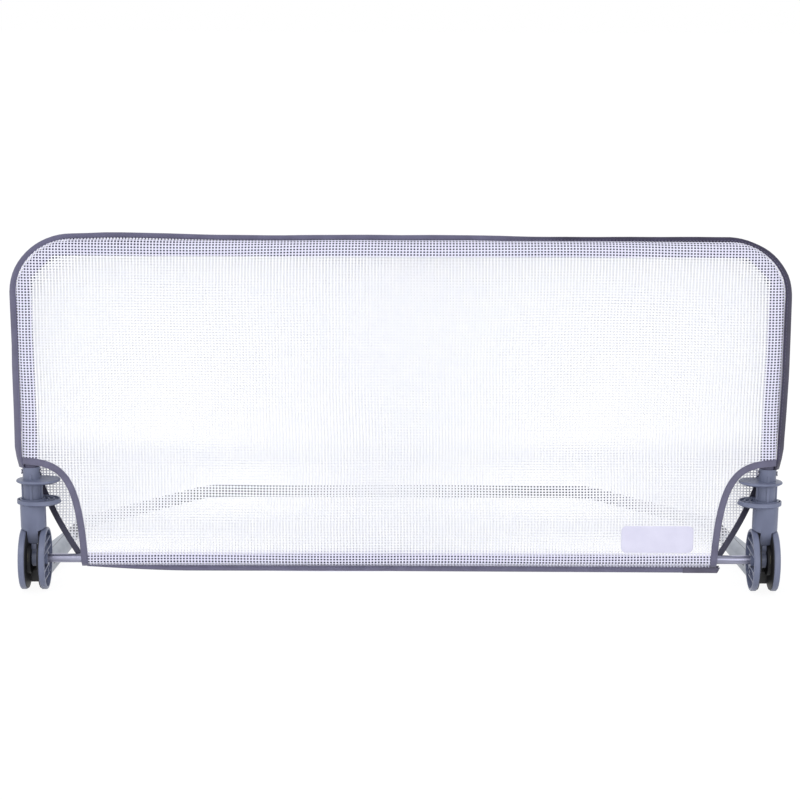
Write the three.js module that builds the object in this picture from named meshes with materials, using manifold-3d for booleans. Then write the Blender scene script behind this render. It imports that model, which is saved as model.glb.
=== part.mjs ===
// Folding guard rail for the side of a bed, in millimetres.
// +X runs along the rail, -Y is the outside of the bed and +Z is up. Hubs and base tube stand on Z = 0.
// The rail folds about the cross tube. Each side has a hub, a post, a sliding lock sleeve and a collar.

import * as THREE from "three";
import { ConvexGeometry } from "three/addons/geometries/ConvexGeometry.js";
import { mergeVertices } from "three/addons/utils/BufferGeometryUtils.js";
import Module from "manifold-3d";

const wasm = await Module();
wasm.setup();

// Overall sizes
const overallLength = 900;
const railHeight = 419.6;
const farBarDistance = 470.7;
const legLean = THREE.MathUtils.degToRad(1.1);

// Clearances
const seatGap = 0.3;
const weldDistance = 0.001;
const cutMargin = 2;

// Top frame, a tube bent to an upside-down U
const frameRadius = 9;
const frameWall = 1.2;
const frameCornerRadius = 56.4;

// Hubs, each with two cheeks and a slot between them
const hubRadius = 36.8;
const slotWidth = 14.7;
const cheekWidth = 7.1;
const cheekEdge = 1.1;
const cheekRimWall = 3.2;
const cheekWeb = 2.4;
const ribWidth = 1.5;
const ribRecess = 0.8;
const ribRises = [9.3, 21];
const bossRadius = 7.7;
const screwBossRadius = 3.9;

// Cross tube and its end caps
const axleRadius = 5.2;
const axleWall = 1;
const capRadius = 7.4;
const capThickness = 2.4;
const capPlugLength = 7;

// Core between the cheeks
const coreSideGap = 0.3;
const linerInset = 1.2;
const linerThickness = 0.7;
const drumRadius = 18.2;
const lugSlotHalf = 3.7;
const lugSlotMargin = 0.4;
const neckInset = 0.6;
const neckFrom = THREE.MathUtils.degToRad(204);
const neckTo = THREE.MathUtils.degToRad(249);
const tailUnder = 5.4;
const tailHeight = 16.8;
const tailFront = 20;
const socketGap = 2.3;
const tenonHalfWidth = 5;
const tenonLength = 20;
const tenonHeight = 15;

// Screws
const hubScrewRadius = 1.5;
const hubScrewHeadRadius = 2.9;
const hubScrewHead = 1.8;
const hubScrewInset = 11.3;
const hubScrewAngles = [THREE.MathUtils.degToRad(219), THREE.MathUtils.degToRad(238)];
const socketScrewInset = 10.9;
const socketScrewHeight = 13.5;

// Arm sockets and base tube
const armRootHeight = 17;
const armBendInset = 44.2;
const farBendInset = 193;
const farCornerRun = 200.7;
const armBendRadius = 70;
const farBendRadius = 48;
const baseRadius = 8.5;
const baseWall = 1.2;
const socketLength = 136;
const socketEndRadius = 10.75;
const socketHalfWidth = 11;
const socketTop = 27;
const soleLength = 42;
const soleHalfWidth = 7.5;

// Post: lug round the cross tube, web, ribbed column and spigot
const lugHalfThickness = 2.9;
const lugEyeRadius = 9.5;
const webHalfWidth = 3.8;
const columnRadius = 10.4;
const columnRise = 31.2;
const columnHeight = 22.8;
const columnRibWidth = 2.8;
const columnRibRise = 1.9;
const spigotRadius = 7.4;
const spigotHeight = 17.7;

// Lock sleeve
const sleeveRadius = 15.05;
const sleeveBore = 13;
const sleeveFloorRise = 0.5;
const sleeveDepth = 35.2;
const saddleGap = 1.2;
const noseGap = 0.8;
const noseTipHalfWidth = 5.3;
const noseHalfWidth = 6.3;
const noseTipHalfDepth = 5.6;
const noseTaper = 17.2;
const noseShoulderHalfDepth = 10.6;
const webSlotHalf = 3.4;
const webSlotDepth = 4.4;

// Oval collars, shared by sleeve and frame
const collarHalfWidth = 25.85;
const collarHalfDepth = 20.2;
const collarInset = 7.66;
const collarUnderInset = 3.4;
const collarTopInset = 0.9;
const collarRimRise = 2;
const collarRimHeight = 1.1;
const gripDrop = 2.9;
const gripThickness = 4.4;
const gripRidge = 2;
const gripRidgeWidth = 1.4;
const gripRidgeShares = [0.98, 0.86, 0.74];
const collarThickness = 4.2;
const cupRadius = 10.2;
const cupHeight = 19.2;
const tabWidth = 2.8;
const tabHeight = 7;
const tabRise = 1.2;

// Lock spring
const springRadius = 11.4;
const springWire = 0.7;
const springTurns = 4.5;

// Rivet through cup, frame tube and spigot
const rivetDrop = 5.9;
const rivetRadius = 1.6;
const rivetHeadRadius = 3.1;
const rivetHead = 1.2;

// Fabric cover: two mesh panels whose edges wrap the frame tube
const sheetHalf = 0.4;
const sheetOffset = 9.85;
const bendDrop = 3.9;
const bulgeOffset = 21.7;
const bulgeUnderGrip = 10.4;
const bulgeOverCollar = 8.1;
const lowOffset = 7.4;
const lowRise = 5.2;
const lowDrop = 3.4;
const hemOffset = 2.3;
const hemFromDrop = 7.4;
const panelDrop = 12.8;
const wrapHalf = 0.5;
const wrapToe = 3;
const gapColumns = 12;
const gapRows = 6;
const gapFieldInset = 42;
const gapFieldRise = 9.2;
const gapFieldTopInset = 33.6;
const netBar = 4.5;

// Bindings
const seamWidth = 6.6;
const seamHalfThickness = 1.25;
const bindingWidth = 8.4;
const backBindingWidth = 6.5;
const bindingHalfThickness = 0.9;
const bindingStandOff = 0.35;
const cutStartInset = 10.5;
const cutAboveCup = 6.8;
const cutBulgeInset = 58.5;
const cutTurnInset = 75.8;
const cutTurnDrop = 14.3;
const cutEndInset = 81;
const cutEndDrop = 6.6;
const backStartInset = 18;
const backStartRise = 36;
const backBulgeInset = 18;
const backBulgeDrop = 69.9;
const backTurnInset = 41;
const backTurnDrop = 103.9;
const backEndInset = 75;
const hemInset = 78;
const hemDrop = 14.8;
const hemHeight = 7.1;
const hemHalfThickness = 4.2;
const hemWall = 1.1;

// Blank label patch on the front panel
const labelInset = 105.5;
const labelLength = 84.5;
const labelRise = 10.4;
const labelHeight = 32.1;
const labelThickness = 0.6;

// Counts
const roundSides = 36;
const sleeveSides = 24;
const tubeSides = 18;
const smallSides = 10;
const ovalSides = 28;
const bendSteps = 5;
const curveSteps = 14;
const springSteps = 8;
const springSides = 5;
const wrapSteps = 3;

// Derived sizes
const slotHalf = slotWidth / 2;
const coreHalf = slotHalf + linerThickness;
const cheekFace = coreHalf + coreSideGap;
const hubHalf = cheekFace + cheekWidth;
const boreRadius = axleRadius + seatGap;
const screwBore = hubScrewRadius + seatGap;
const linerRadius = hubRadius - linerInset;
const neckRadius = hubRadius - neckInset;
const lugSlotRadius = drumRadius + lugSlotMargin;
const tailBottom = hubRadius - tailUnder;
const tailTop = tailBottom - tailHeight;
const hubScrewReach = hubRadius - hubScrewInset;
const socketFront = hubRadius + socketGap;
const socketScrewDistance = socketFront + socketScrewInset;
const noseReach = drumRadius + noseGap;
const noseShoulder = noseReach + noseTaper;
const saddleRadius = hubRadius + saddleGap;
const sleeveFloor = hubRadius + sleeveFloorRise;
const sleeveTop = sleeveFloor + sleeveDepth;
const gripTop = sleeveTop - gripDrop;
const columnFrom = hubRadius + columnRise;
const columnTo = columnFrom + columnHeight;
const spigotTo = columnTo + spigotHeight;
const collarFrom = columnTo + seatGap;
const cupTo = collarFrom + cupHeight;
const rivetHeight = cupTo - rivetDrop;
const topTubeHeight = railHeight - seamWidth - frameRadius;
const halfLength = overallLength / 2;
const legTopX = halfLength - seamWidth - frameRadius;
const legRise = topTubeHeight - frameCornerRadius - hubRadius;
const hubX = legTopX - legRise * Math.tan(legLean);
const farBarHeight = baseRadius;
const farBendX = halfLength - farBendInset;
const armBendX = halfLength - armBendInset;
const armBendDistance = farBarDistance - farCornerRun;
const armStart = socketFront + tenonLength + cutMargin;
const armSlope = (hubX - armBendX) / armBendDistance;
const armFall = (armRootHeight - farBarHeight) / (farBarDistance - socketFront);
const cutStartHeight = hubRadius + cupTo + cutAboveCup;
const backStartHeight = cutStartHeight + backStartRise;
const backBulgeHeight = backStartHeight - backBulgeDrop;
const backTurnHeight = backStartHeight - backTurnDrop;
const cutEndHeight = hubRadius - cutEndDrop;
const bendHeight = cutStartHeight - bendDrop;
const bulgeFrom = hubRadius + gripTop - bulgeUnderGrip;
const bulgeTo = hubRadius + collarFrom + bulgeOverCollar;
const lowFrom = hubRadius + lowRise;
const lowTo = hubRadius - lowDrop;
const hemFrom = hubRadius - hemFromDrop;
const panelBottom = hubRadius - panelDrop;
const hemBottom = hubRadius - hemDrop;
const hemTop = hemBottom + hemHeight;
const labelBottom = hubRadius + labelRise;
const labelTop = labelBottom + labelHeight;
const gapFieldBottom = hubRadius + gapFieldRise;
const gapFieldHalfWidth = halfLength - gapFieldInset;
const gapFieldTop = railHeight - gapFieldTopInset;
const hemHalfLength = halfLength - hemInset;
const labelToX = halfLength - labelInset;
const labelFromX = labelToX - labelLength;

// Solids from geometry

function toSolid(geometry) {
  const plain = geometry.clone();
  plain.deleteAttribute("normal");
  plain.deleteAttribute("uv");
  const merged = mergeVertices(plain, weldDistance);
  const vertProperties = new Float32Array(merged.attributes.position.array);
  const triVerts = new Uint32Array(wholeTriangles(merged.index.array));
  return new wasm.Manifold(new wasm.Mesh({ numProp: 3, vertProperties, triVerts }));
}

// Leaves out the triangles that merging has closed to a line, such as those at the pole of a turned piece
function wholeTriangles(index) {
  const kept = [];
  for (let i = 0; i < index.length; i += 3) {
    const [a, b, c] = index.slice(i, i + 3);
    if (a !== b && b !== c && c !== a) kept.push(a, b, c);
  }
  return kept;
}

function toGeometry(solid) {
  const mesh = solid.getMesh();
  const geometry = new THREE.BufferGeometry();
  geometry.setAttribute("position", new THREE.BufferAttribute(mesh.vertProperties, 3));
  geometry.setIndex(new THREE.BufferAttribute(mesh.triVerts, 1));
  return geometry;
}

function joined(solids) {
  return solids.reduce((sum, solid) => sum.add(solid));
}

function without(solid, cutters) {
  return cutters.reduce((rest, cutter) => rest.subtract(cutter), solid);
}

// A round rod along the named axis
function rod(axis, radius, from, to, sides = tubeSides) {
  const geometry = new THREE.CylinderGeometry(radius, radius, to - from, sides);
  geometry.translate(0, (from + to) / 2, 0);
  if (axis === "x") geometry.rotateZ(-Math.PI / 2);
  if (axis === "z") geometry.rotateX(Math.PI / 2);
  return toSolid(geometry);
}

function block(fromX, toX, fromY, toY, fromZ, toZ) {
  const geometry = new THREE.BoxGeometry(toX - fromX, toY - fromY, toZ - fromZ);
  geometry.translate((fromX + toX) / 2, (fromY + toY) / 2, (fromZ + toZ) / 2);
  return toSolid(geometry);
}

function extruded(shape, depth) {
  const options = { depth, bevelEnabled: false, steps: 1, curveSegments: tubeSides };
  return new THREE.ExtrudeGeometry(shape, options);
}

// A shape drawn in Y and Z, extruded along X
function prismX(shape, from, to) {
  const geometry = extruded(shape, to - from);
  const turn = new THREE.Matrix4();
  turn.makeBasis(new THREE.Vector3(0, 1, 0), new THREE.Vector3(0, 0, 1), new THREE.Vector3(1, 0, 0));
  geometry.applyMatrix4(turn);
  geometry.translate(from, 0, 0);
  return toSolid(geometry);
}

// A shape drawn in X and Z, extruded along Y
function prismY(shape, from, to) {
  const geometry = extruded(shape, to - from);
  geometry.rotateX(Math.PI / 2);
  geometry.translate(0, to, 0);
  return toSolid(geometry);
}

// A shape drawn in X and Y, extruded along Z
function prismZ(shape, from, to) {
  const geometry = extruded(shape, to - from);
  geometry.translate(0, 0, from);
  return toSolid(geometry);
}

// A solid turned about X from a profile of radius and distance along X that starts and ends on the axis
function turnedX(profile, sides) {
  const points = profile.map(([radius, x]) => new THREE.Vector2(radius, x));
  const geometry = new THREE.LatheGeometry(points, sides);
  geometry.rotateZ(-Math.PI / 2);
  return toSolid(geometry);
}

function circlePoints(radius, sides) {
  return Array.from({ length: sides }, (_, i) => {
    const angle = (2 * Math.PI * i) / sides;
    return new THREE.Vector2(radius * Math.cos(angle), radius * Math.sin(angle));
  });
}

function ellipseShape(centreX, halfWidth, halfDepth) {
  return new THREE.Shape(
    circlePoints(1, ovalSides).map((p) => new THREE.Vector2(centreX + p.x * halfWidth, p.y * halfDepth)),
  );
}

// Paths and sweeps

// Corner points joined by straight lines, each inner corner rounded by an arc
function roundedPath(corners, radii) {
  const points = [corners[0].clone()];
  for (let i = 1; i < corners.length - 1; i += 1) {
    const into = corners[i].clone().sub(corners[i - 1]).normalize();
    const out = corners[i + 1].clone().sub(corners[i]).normalize();
    points.push(...cornerArc(corners[i], into, out, radii[i - 1]));
  }
  points.push(corners[corners.length - 1].clone());
  return points;
}

function cornerArc(corner, into, out, radius) {
  const turn = into.angleTo(out);
  const tangent = radius * Math.tan(turn / 2);
  const inward = out.clone().sub(into).normalize();
  const centre = corner.clone().addScaledVector(inward, radius / Math.cos(turn / 2));
  const start = corner.clone().addScaledVector(into, -tangent).sub(centre);
  const end = corner.clone().addScaledVector(out, tangent).sub(centre);
  return Array.from({ length: bendSteps + 1 }, (_, k) => {
    const share = k / bendSteps;
    const point = start.clone().multiplyScalar(Math.sin((1 - share) * turn));
    point.addScaledVector(end, Math.sin(share * turn));
    return point.divideScalar(Math.sin(turn)).add(centre);
  });
}

// A closed outline, with an optional hole, carried along points.
// Its first coordinate runs along tangent x up, its second along up.
function sweep(points, up, outline, hole = []) {
  const section = [...outline, ...hole];
  const last = points.length - 1;
  const vertices = points.flatMap((point, i) => {
    const tangent = points[Math.min(i + 1, last)].clone().sub(points[Math.max(i - 1, 0)]).normalize();
    const side = tangent.clone().cross(up).normalize();
    const top = side.clone().cross(tangent);
    return section.map((p) => point.clone().addScaledVector(side, p.x).addScaledVector(top, p.y));
  });
  const index = [];
  const loops = [[0, outline.length], [outline.length, hole.length]];
  for (let i = 0; i < last; i += 1) {
    for (const [first, count] of loops) {
      index.push(...wallIndex(i * section.length, section.length, first, count));
    }
  }
  const caps = THREE.ShapeUtils.triangulateShape(outline, hole.length ? [hole] : []);
  const end = last * section.length;
  for (const [a, b, c] of caps) index.push(a, b, c, end + c, end + b, end + a);
  const geometry = new THREE.BufferGeometry().setFromPoints(vertices);
  geometry.setIndex(index);
  return toSolid(geometry);
}

function wallIndex(base, stride, first, count) {
  const index = [];
  for (let j = 0; j < count; j += 1) {
    const a = base + first + j;
    const b = base + first + ((j + 1) % count);
    index.push(a, a + stride, b + stride, a, b + stride, b);
  }
  return index;
}

function pipe(points, up, radius, wall) {
  const bore = circlePoints(radius - wall, tubeSides / 2).reverse();
  return sweep(points, up, circlePoints(radius, tubeSides), bore);
}

const upZ = new THREE.Vector3(0, 0, 1);
const backY = new THREE.Vector3(0, 1, 0);

// Hub, drawn about the axle with +X to the outside

// A point in Y and Z at an angle from +Z towards -Y
function aroundAxle(radius, angle) {
  return new THREE.Vector2(-radius * Math.sin(angle), radius * Math.cos(angle));
}

const hubScrewSpots = hubScrewAngles.map((angle) => aroundAxle(hubScrewReach, angle));

function atSpot(solid, spot) {
  return solid.translate([0, spot.x, spot.y]);
}

// Level ribs from rim to rim, above and below the boss
function cheekRibs() {
  const rimReach = hubRadius - cheekRimWall / 2;
  const half = ribWidth / 2;
  return ribRises.flatMap((rise) => {
    const reach = Math.sqrt(rimReach * rimReach - rise * rise);
    const [from, to] = [cheekFace + cheekWeb / 2, hubHalf - ribRecess];
    return [
      block(from, to, -reach, reach, rise - half, rise + half),
      block(from, to, -reach, reach, -rise - half, half - rise),
    ];
  });
}

function cheek() {
  const webFace = cheekFace + cheekWeb;
  const webMiddle = cheekFace + cheekWeb / 2;
  const rimInside = hubRadius - cheekRimWall;
  const dish = turnedX(
    [
      [0, cheekFace],
      [hubRadius - cheekEdge, cheekFace],
      [hubRadius, cheekFace + cheekEdge],
      [hubRadius, hubHalf - cheekEdge],
      [hubRadius - cheekEdge, hubHalf],
      [rimInside, hubHalf],
      [rimInside, webFace],
      [0, webFace],
    ],
    roundSides,
  );
  const screwBosses = hubScrewSpots.map((spot) =>
    atSpot(rod("x", screwBossRadius, webMiddle, hubHalf - hubScrewHead - 2 * seatGap, smallSides), spot),
  );
  const bossCores = hubScrewSpots.map((spot) =>
    atSpot(rod("x", screwBossRadius - seatGap, 0, hubHalf, smallSides), spot),
  );
  const ribs = without(joined(cheekRibs()), bossCores);
  const body = joined([dish, ribs, rod("x", bossRadius, webMiddle, hubHalf), ...screwBosses]);
  return body.subtract(rod("x", boreRadius, 0, hubHalf + cutMargin));
}

function outerCheek() {
  const bores = hubScrewSpots.map((spot) => atSpot(rod("x", screwBore, 0, hubHalf, smallSides), spot));
  return without(cheek(), bores);
}

function innerCheek() {
  const blind = hubHalf - hubScrewHead - cutMargin;
  const bores = hubScrewSpots.map((spot) => atSpot(rod("x", screwBore, 0, blind, smallSides), spot));
  return without(cheek(), bores).mirror([1, 0, 0]);
}

function neckShape() {
  const outer = Array.from({ length: bendSteps + 1 }, (_, i) =>
    aroundAxle(neckRadius, neckFrom + ((neckTo - neckFrom) * i) / bendSteps),
  );
  const rootRadius = drumRadius - cutMargin;
  return new THREE.Shape([...outer, aroundAxle(rootRadius, neckTo), aroundAxle(rootRadius, neckFrom)]);
}

// The spool between the cheeks: a drum in halves beside the lug, a liner disc on each side, a neck and a tail
function core() {
  const tenonMiddle = socketScrewHeight - hubRadius;
  const body = joined([
    rod("x", drumRadius, -coreHalf, coreHalf, sleeveSides),
    rod("x", linerRadius, slotHalf, coreHalf, sleeveSides),
    rod("x", linerRadius, -coreHalf, -slotHalf, sleeveSides),
    prismX(neckShape(), -coreHalf, coreHalf),
    block(-coreHalf, coreHalf, tailFront, socketFront - seatGap, -tailBottom, -tailTop),
    block(
      -tenonHalfWidth,
      tenonHalfWidth,
      tailFront,
      socketFront + tenonLength,
      tenonMiddle - tenonHeight / 2,
      tenonMiddle + tenonHeight / 2,
    ),
  ]);
  return without(body, [
    rod("x", lugSlotRadius, -lugSlotHalf, lugSlotHalf, sleeveSides),
    rod("x", boreRadius, -slotWidth, slotWidth),
    atSocketScrew(rod("x", screwBore, -slotWidth, slotWidth, smallSides)),
    ...hubScrewSpots.map((spot) => atSpot(rod("x", screwBore, -slotWidth, slotWidth, smallSides), spot)),
  ]);
}

function hubScrew(spot) {
  const seat = hubHalf - hubScrewHead - seatGap;
  const tip = hubHalf - hubScrewHead - cutMargin - seatGap;
  const screw = joined([
    rod("x", hubScrewRadius, -tip, seat + hubScrewHead / 2, smallSides),
    rod("x", hubScrewHeadRadius, seat, seat + hubScrewHead, smallSides),
  ]);
  return atSpot(screw, spot);
}

// Arm socket, drawn about the axle like the hub

function armPoint(distance) {
  const drop = armRootHeight - (distance - socketFront) * armFall;
  return new THREE.Vector3(-armSlope * distance, distance, drop - hubRadius);
}

// Carries a piece to the socket screw's line
function atSocketScrew(solid) {
  return solid.translate([0, socketScrewDistance, socketScrewHeight - hubRadius]);
}

// The hull of the socket, from its flat root and sole to its round end
function socketHull(end) {
  const sides = [-1, 1];
  const root = sides.flatMap((side) => [
    new THREE.Vector3(side * socketHalfWidth, socketFront, socketTop - hubRadius),
    new THREE.Vector3(side * socketHalfWidth, socketFront, socketHalfWidth / 2 - hubRadius),
    new THREE.Vector3(side * soleHalfWidth, socketFront, -hubRadius),
    new THREE.Vector3(side * soleHalfWidth, socketFront + soleLength, -hubRadius),
  ]);
  const middle = armPoint(end);
  const ring = circlePoints(socketEndRadius, tubeSides).map(
    (p) => new THREE.Vector3(middle.x + p.x, middle.y, middle.z + p.y),
  );
  return toSolid(new ConvexGeometry([...root, ...ring]));
}

function armSocket() {
  const end = socketFront + socketLength;
  const tenonMiddle = socketScrewHeight - hubRadius;
  const slack = tenonHeight / 2 + seatGap;
  const screwTip = socketHalfWidth - cutMargin;
  const boreLine = [armPoint(armStart - seatGap), armPoint(end + cutMargin)];
  const boss = atSocketScrew(rod("x", screwBossRadius, 0, socketHalfWidth, smallSides));
  const headBore = hubScrewHeadRadius + seatGap;
  const headSpace = rod("x", headBore, socketHalfWidth, 2 * socketHalfWidth, smallSides);
  return without(joined([socketHull(end), boss]), [
    block(
      -tenonHalfWidth - seatGap,
      tenonHalfWidth + seatGap,
      socketFront - cutMargin,
      socketFront + tenonLength + seatGap,
      tenonMiddle - slack,
      tenonMiddle + slack,
    ),
    sweep(boreLine, upZ, circlePoints(baseRadius + seatGap, tubeSides)),
    atSocketScrew(rod("x", screwBore, -screwTip, 2 * socketHalfWidth, smallSides)),
    atSocketScrew(headSpace),
  ]);
}

function socketScrew() {
  const seat = socketHalfWidth + seatGap;
  const tip = socketHalfWidth - cutMargin - seatGap;
  const screw = joined([
    rod("x", hubScrewRadius, -tip, seat + hubScrewHead / 2, smallSides),
    rod("x", hubScrewHeadRadius, seat, seat + hubScrewHead, smallSides),
  ]);
  return atSocketScrew(screw);
}

function axleCap() {
  const plug = axleRadius - axleWall - seatGap;
  const face = hubHalf + seatGap;
  return joined([
    rod("x", plug, hubHalf - capPlugLength, face + capThickness / 2, smallSides),
    rod("x", capRadius, face, face + capThickness / 2),
    rod("x", capRadius - cheekEdge, face, face + capThickness),
  ]);
}

// Leg, drawn about the axle along its own leaning Z

function post() {
  const ribReach = columnRadius + columnRibRise;
  const half = columnRibWidth / 2;
  const body = joined([
    rod("x", lugEyeRadius, -lugHalfThickness, lugHalfThickness, roundSides / 2),
    block(-lugHalfThickness, lugHalfThickness, -webHalfWidth, webHalfWidth, 0, columnFrom + cutMargin),
    rod("z", columnRadius, columnFrom, columnTo, roundSides / 2),
    block(-half, half, -ribReach, ribReach, columnFrom, columnTo),
    block(-ribReach, ribReach, -half, half, columnFrom, columnTo),
    rod("z", spigotRadius, columnTo - cutMargin, spigotTo),
  ]);
  return without(body, [
    rod("x", boreRadius, -slotHalf, slotHalf),
    atRivet(rod("x", rivetRadius + seatGap, -columnRadius, columnRadius, smallSides)),
  ]);
}

// Carries a piece to the rivet's line through the leg
function atRivet(solid) {
  return solid.translate([0, 0, rivetHeight]);
}

// The bullet that the sleeve's lower end is shaped to
function noseHull() {
  const signs = [-1, 1];
  const levels = [
    [noseTipHalfWidth, noseTipHalfDepth, noseReach],
    [noseHalfWidth, noseShoulderHalfDepth, noseShoulder],
    [sleeveRadius + cutMargin, sleeveRadius + cutMargin, saddleRadius],
    [sleeveRadius + cutMargin, sleeveRadius + cutMargin, sleeveTop],
  ];
  const points = levels.flatMap(([x, y, z]) =>
    signs.flatMap((a) => signs.map((b) => new THREE.Vector3(a * x, b * y, z))),
  );
  return toSolid(new ConvexGeometry(points));
}

// A collar flange: an oval saucer with a thin rim, set off towards the middle of the rail
function flange(from, to) {
  const levels = [
    [from, collarUnderInset],
    [from + collarRimRise, 0],
    [from + collarRimRise + collarRimHeight, 0],
    [to, collarTopInset],
  ];
  const points = levels.flatMap(([z, inset]) =>
    ellipseShape(-collarInset, collarHalfWidth - inset, collarHalfDepth - inset)
      .getPoints()
      .map((p) => new THREE.Vector3(p.x, p.y, z)),
  );
  return toSolid(new ConvexGeometry(points));
}

// A grip ridge: an oval ring that touches the sleeve on its outer side
function gripRing(share) {
  const halfWidth = collarHalfWidth * share;
  const halfDepth = Math.max(collarHalfDepth * share, sleeveRadius);
  const centre = -collarInset + (collarHalfWidth - halfWidth);
  const outline = ellipseShape(centre, halfWidth, halfDepth);
  const outer = prismZ(outline, gripTop - gripRidge, gripTop + gripRidge);
  const inner = ellipseShape(centre, halfWidth - gripRidgeWidth, halfDepth - gripRidgeWidth);
  return outer.subtract(prismZ(inner, gripTop - 2 * gripRidge, gripTop + 2 * gripRidge));
}

function lockSleeve() {
  const tube = rod("z", sleeveRadius, noseReach, sleeveTop, sleeveSides).intersect(noseHull());
  const saddle = [
    rod("x", saddleRadius, noseHalfWidth, hubHalf + cutMargin, roundSides),
    rod("x", saddleRadius, -hubHalf - cutMargin, -noseHalfWidth, roundSides),
  ];
  const shell = without(tube, saddle);
  const grip = joined([flange(gripTop - gripThickness, gripTop), ...gripRidgeShares.map(gripRing)]);
  return without(joined([shell, grip]), [
    rod("z", sleeveBore, sleeveFloor, sleeveTop + cutMargin, sleeveSides),
    block(-webSlotHalf, webSlotHalf, -webSlotDepth, webSlotDepth, 0, sleeveFloor + cutMargin),
  ]);
}

function upperCollar() {
  const flangeTop = collarFrom + collarThickness;
  const inside = frameRadius + seatGap;
  const rivetReach = cupRadius + cutMargin;
  const tabFront = -cupRadius - tabRise;
  const body = joined([
    flange(collarFrom, flangeTop),
    rod("z", cupRadius, collarFrom, cupTo, roundSides / 2),
    block(-tabWidth / 2, tabWidth / 2, tabFront, -inside, collarFrom, flangeTop + tabHeight),
  ]);
  return without(body, [
    rod("z", inside, collarFrom - cutMargin, cupTo + cutMargin, roundSides / 2),
    atRivet(rod("x", rivetRadius + seatGap, -rivetReach, rivetReach, smallSides)),
  ]);
}

function postRivet() {
  const seat = cupRadius + seatGap;
  const rivet = joined([
    rod("x", rivetRadius, -seat - rivetHead / 2, seat + rivetHead / 2, smallSides),
    rod("x", rivetHeadRadius, seat, seat + rivetHead, smallSides),
    rod("x", rivetHeadRadius, -seat - rivetHead, -seat, smallSides),
  ]);
  return atRivet(rivet);
}

function springPath() {
  const from = sleeveFloor + seatGap + springWire;
  const to = columnFrom - seatGap - springWire;
  const steps = springTurns * springSteps;
  return Array.from({ length: steps + 1 }, (_, i) => {
    const angle = (2 * Math.PI * i) / springSteps;
    const height = from + ((to - from) * i) / steps;
    return new THREE.Vector3(springRadius * Math.cos(angle), springRadius * Math.sin(angle), height);
  });
}

// The least gap between turns of the spring, from points of its path at least half a turn apart
function leastTurnGap(points) {
  const gaps = points.flatMap((p, i) => points.slice(i + springSteps / 2).map((q) => p.distanceTo(q)));
  return Math.min(...gaps) - 2 * springWire;
}

function lockSpring() {
  return sweep(springPath(), upZ, circlePoints(springWire, springSides));
}

console.log(`Least gap between the turns of a lock spring: ${leastTurnGap(springPath()).toFixed(2)} mm`);

// Frames

// A point on a leg's middle line at a height above the floor; side is -1 or 1
function legPoint(side, height) {
  return new THREE.Vector3(side * (hubX + (height - hubRadius) * Math.tan(legLean)), 0, height);
}

function framePath(bottom) {
  const left = [legPoint(-1, bottom), legPoint(-1, topTubeHeight)];
  const right = [legPoint(1, topTubeHeight), legPoint(1, bottom)];
  return roundedPath([...left, ...right], [frameCornerRadius, frameCornerRadius]);
}

const tubeBottom = hubRadius + collarFrom * Math.cos(legLean);
const seamBottom = hubRadius + (cupTo + seatGap) * Math.cos(legLean) + seatGap;

function topFrame() {
  const holes = [-1, 1].map((side) => {
    const bore = rod("x", rivetRadius + seatGap, -columnRadius, columnRadius, smallSides);
    const leaning = atRivet(bore).rotate([0, side * THREE.MathUtils.radToDeg(legLean), 0]);
    return leaning.translate([side * hubX, 0, hubRadius]);
  });
  return without(pipe(framePath(tubeBottom), backY, frameRadius, frameWall), holes);
}

function baseFrame() {
  const start = armPoint(armStart);
  const corners = [
    new THREE.Vector3(hubX + start.x, start.y, start.z + hubRadius),
    new THREE.Vector3(armBendX, armBendDistance, armPoint(armBendDistance).z + hubRadius),
    new THREE.Vector3(farBendX, farBarDistance, farBarHeight),
  ];
  const mirrored = corners.map((p) => new THREE.Vector3(-p.x, p.y, p.z)).reverse();
  const radii = [armBendRadius, farBendRadius, farBendRadius, armBendRadius];
  return pipe(roundedPath([...corners, ...mirrored], radii), upZ, baseRadius, baseWall);
}

function crossTube() {
  const half = hubX + hubHalf;
  const boreHalf = half + cutMargin;
  return rod("x", axleRadius, -half, half).subtract(rod("x", axleRadius - axleWall, -boreHalf, boreHalf));
}

// Cover

// Heights and distances of a panel's middle surface from the plane of the frame; face is -1 for the front.
// The back panel passes behind the collars.
function sheetKnots(face) {
  const waist = face < 0 ? [[bendHeight, sheetOffset]] : [
    [bulgeFrom, bulgeOffset],
    [bulgeTo, bulgeOffset],
    [backStartHeight, sheetOffset],
  ];
  return [
    [panelBottom - cutMargin, hemOffset],
    [hemFrom, hemOffset],
    [lowTo, lowOffset],
    [lowFrom, lowOffset],
    ...waist,
    [railHeight, sheetOffset],
  ];
}

function sheetDepth(face, height) {
  const knots = sheetKnots(face);
  const upper = Math.max(knots.findIndex(([z]) => z >= height), 1);
  const [z0, depth0] = knots[upper - 1];
  const [z1, depth1] = knots[upper];
  return THREE.MathUtils.mapLinear(height, z0, z1, depth0, depth1);
}

// A panel's section in Y and Z between two offsets from its middle surface
function sheetShape(face, inner, outer, heights) {
  const inside = heights.map((z) => new THREE.Vector2(face * (sheetDepth(face, z) + inner), z));
  const outside = heights.map((z) => new THREE.Vector2(face * (sheetDepth(face, z) + outer), z));
  return new THREE.Shape([...inside, ...outside.reverse()]);
}

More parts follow.
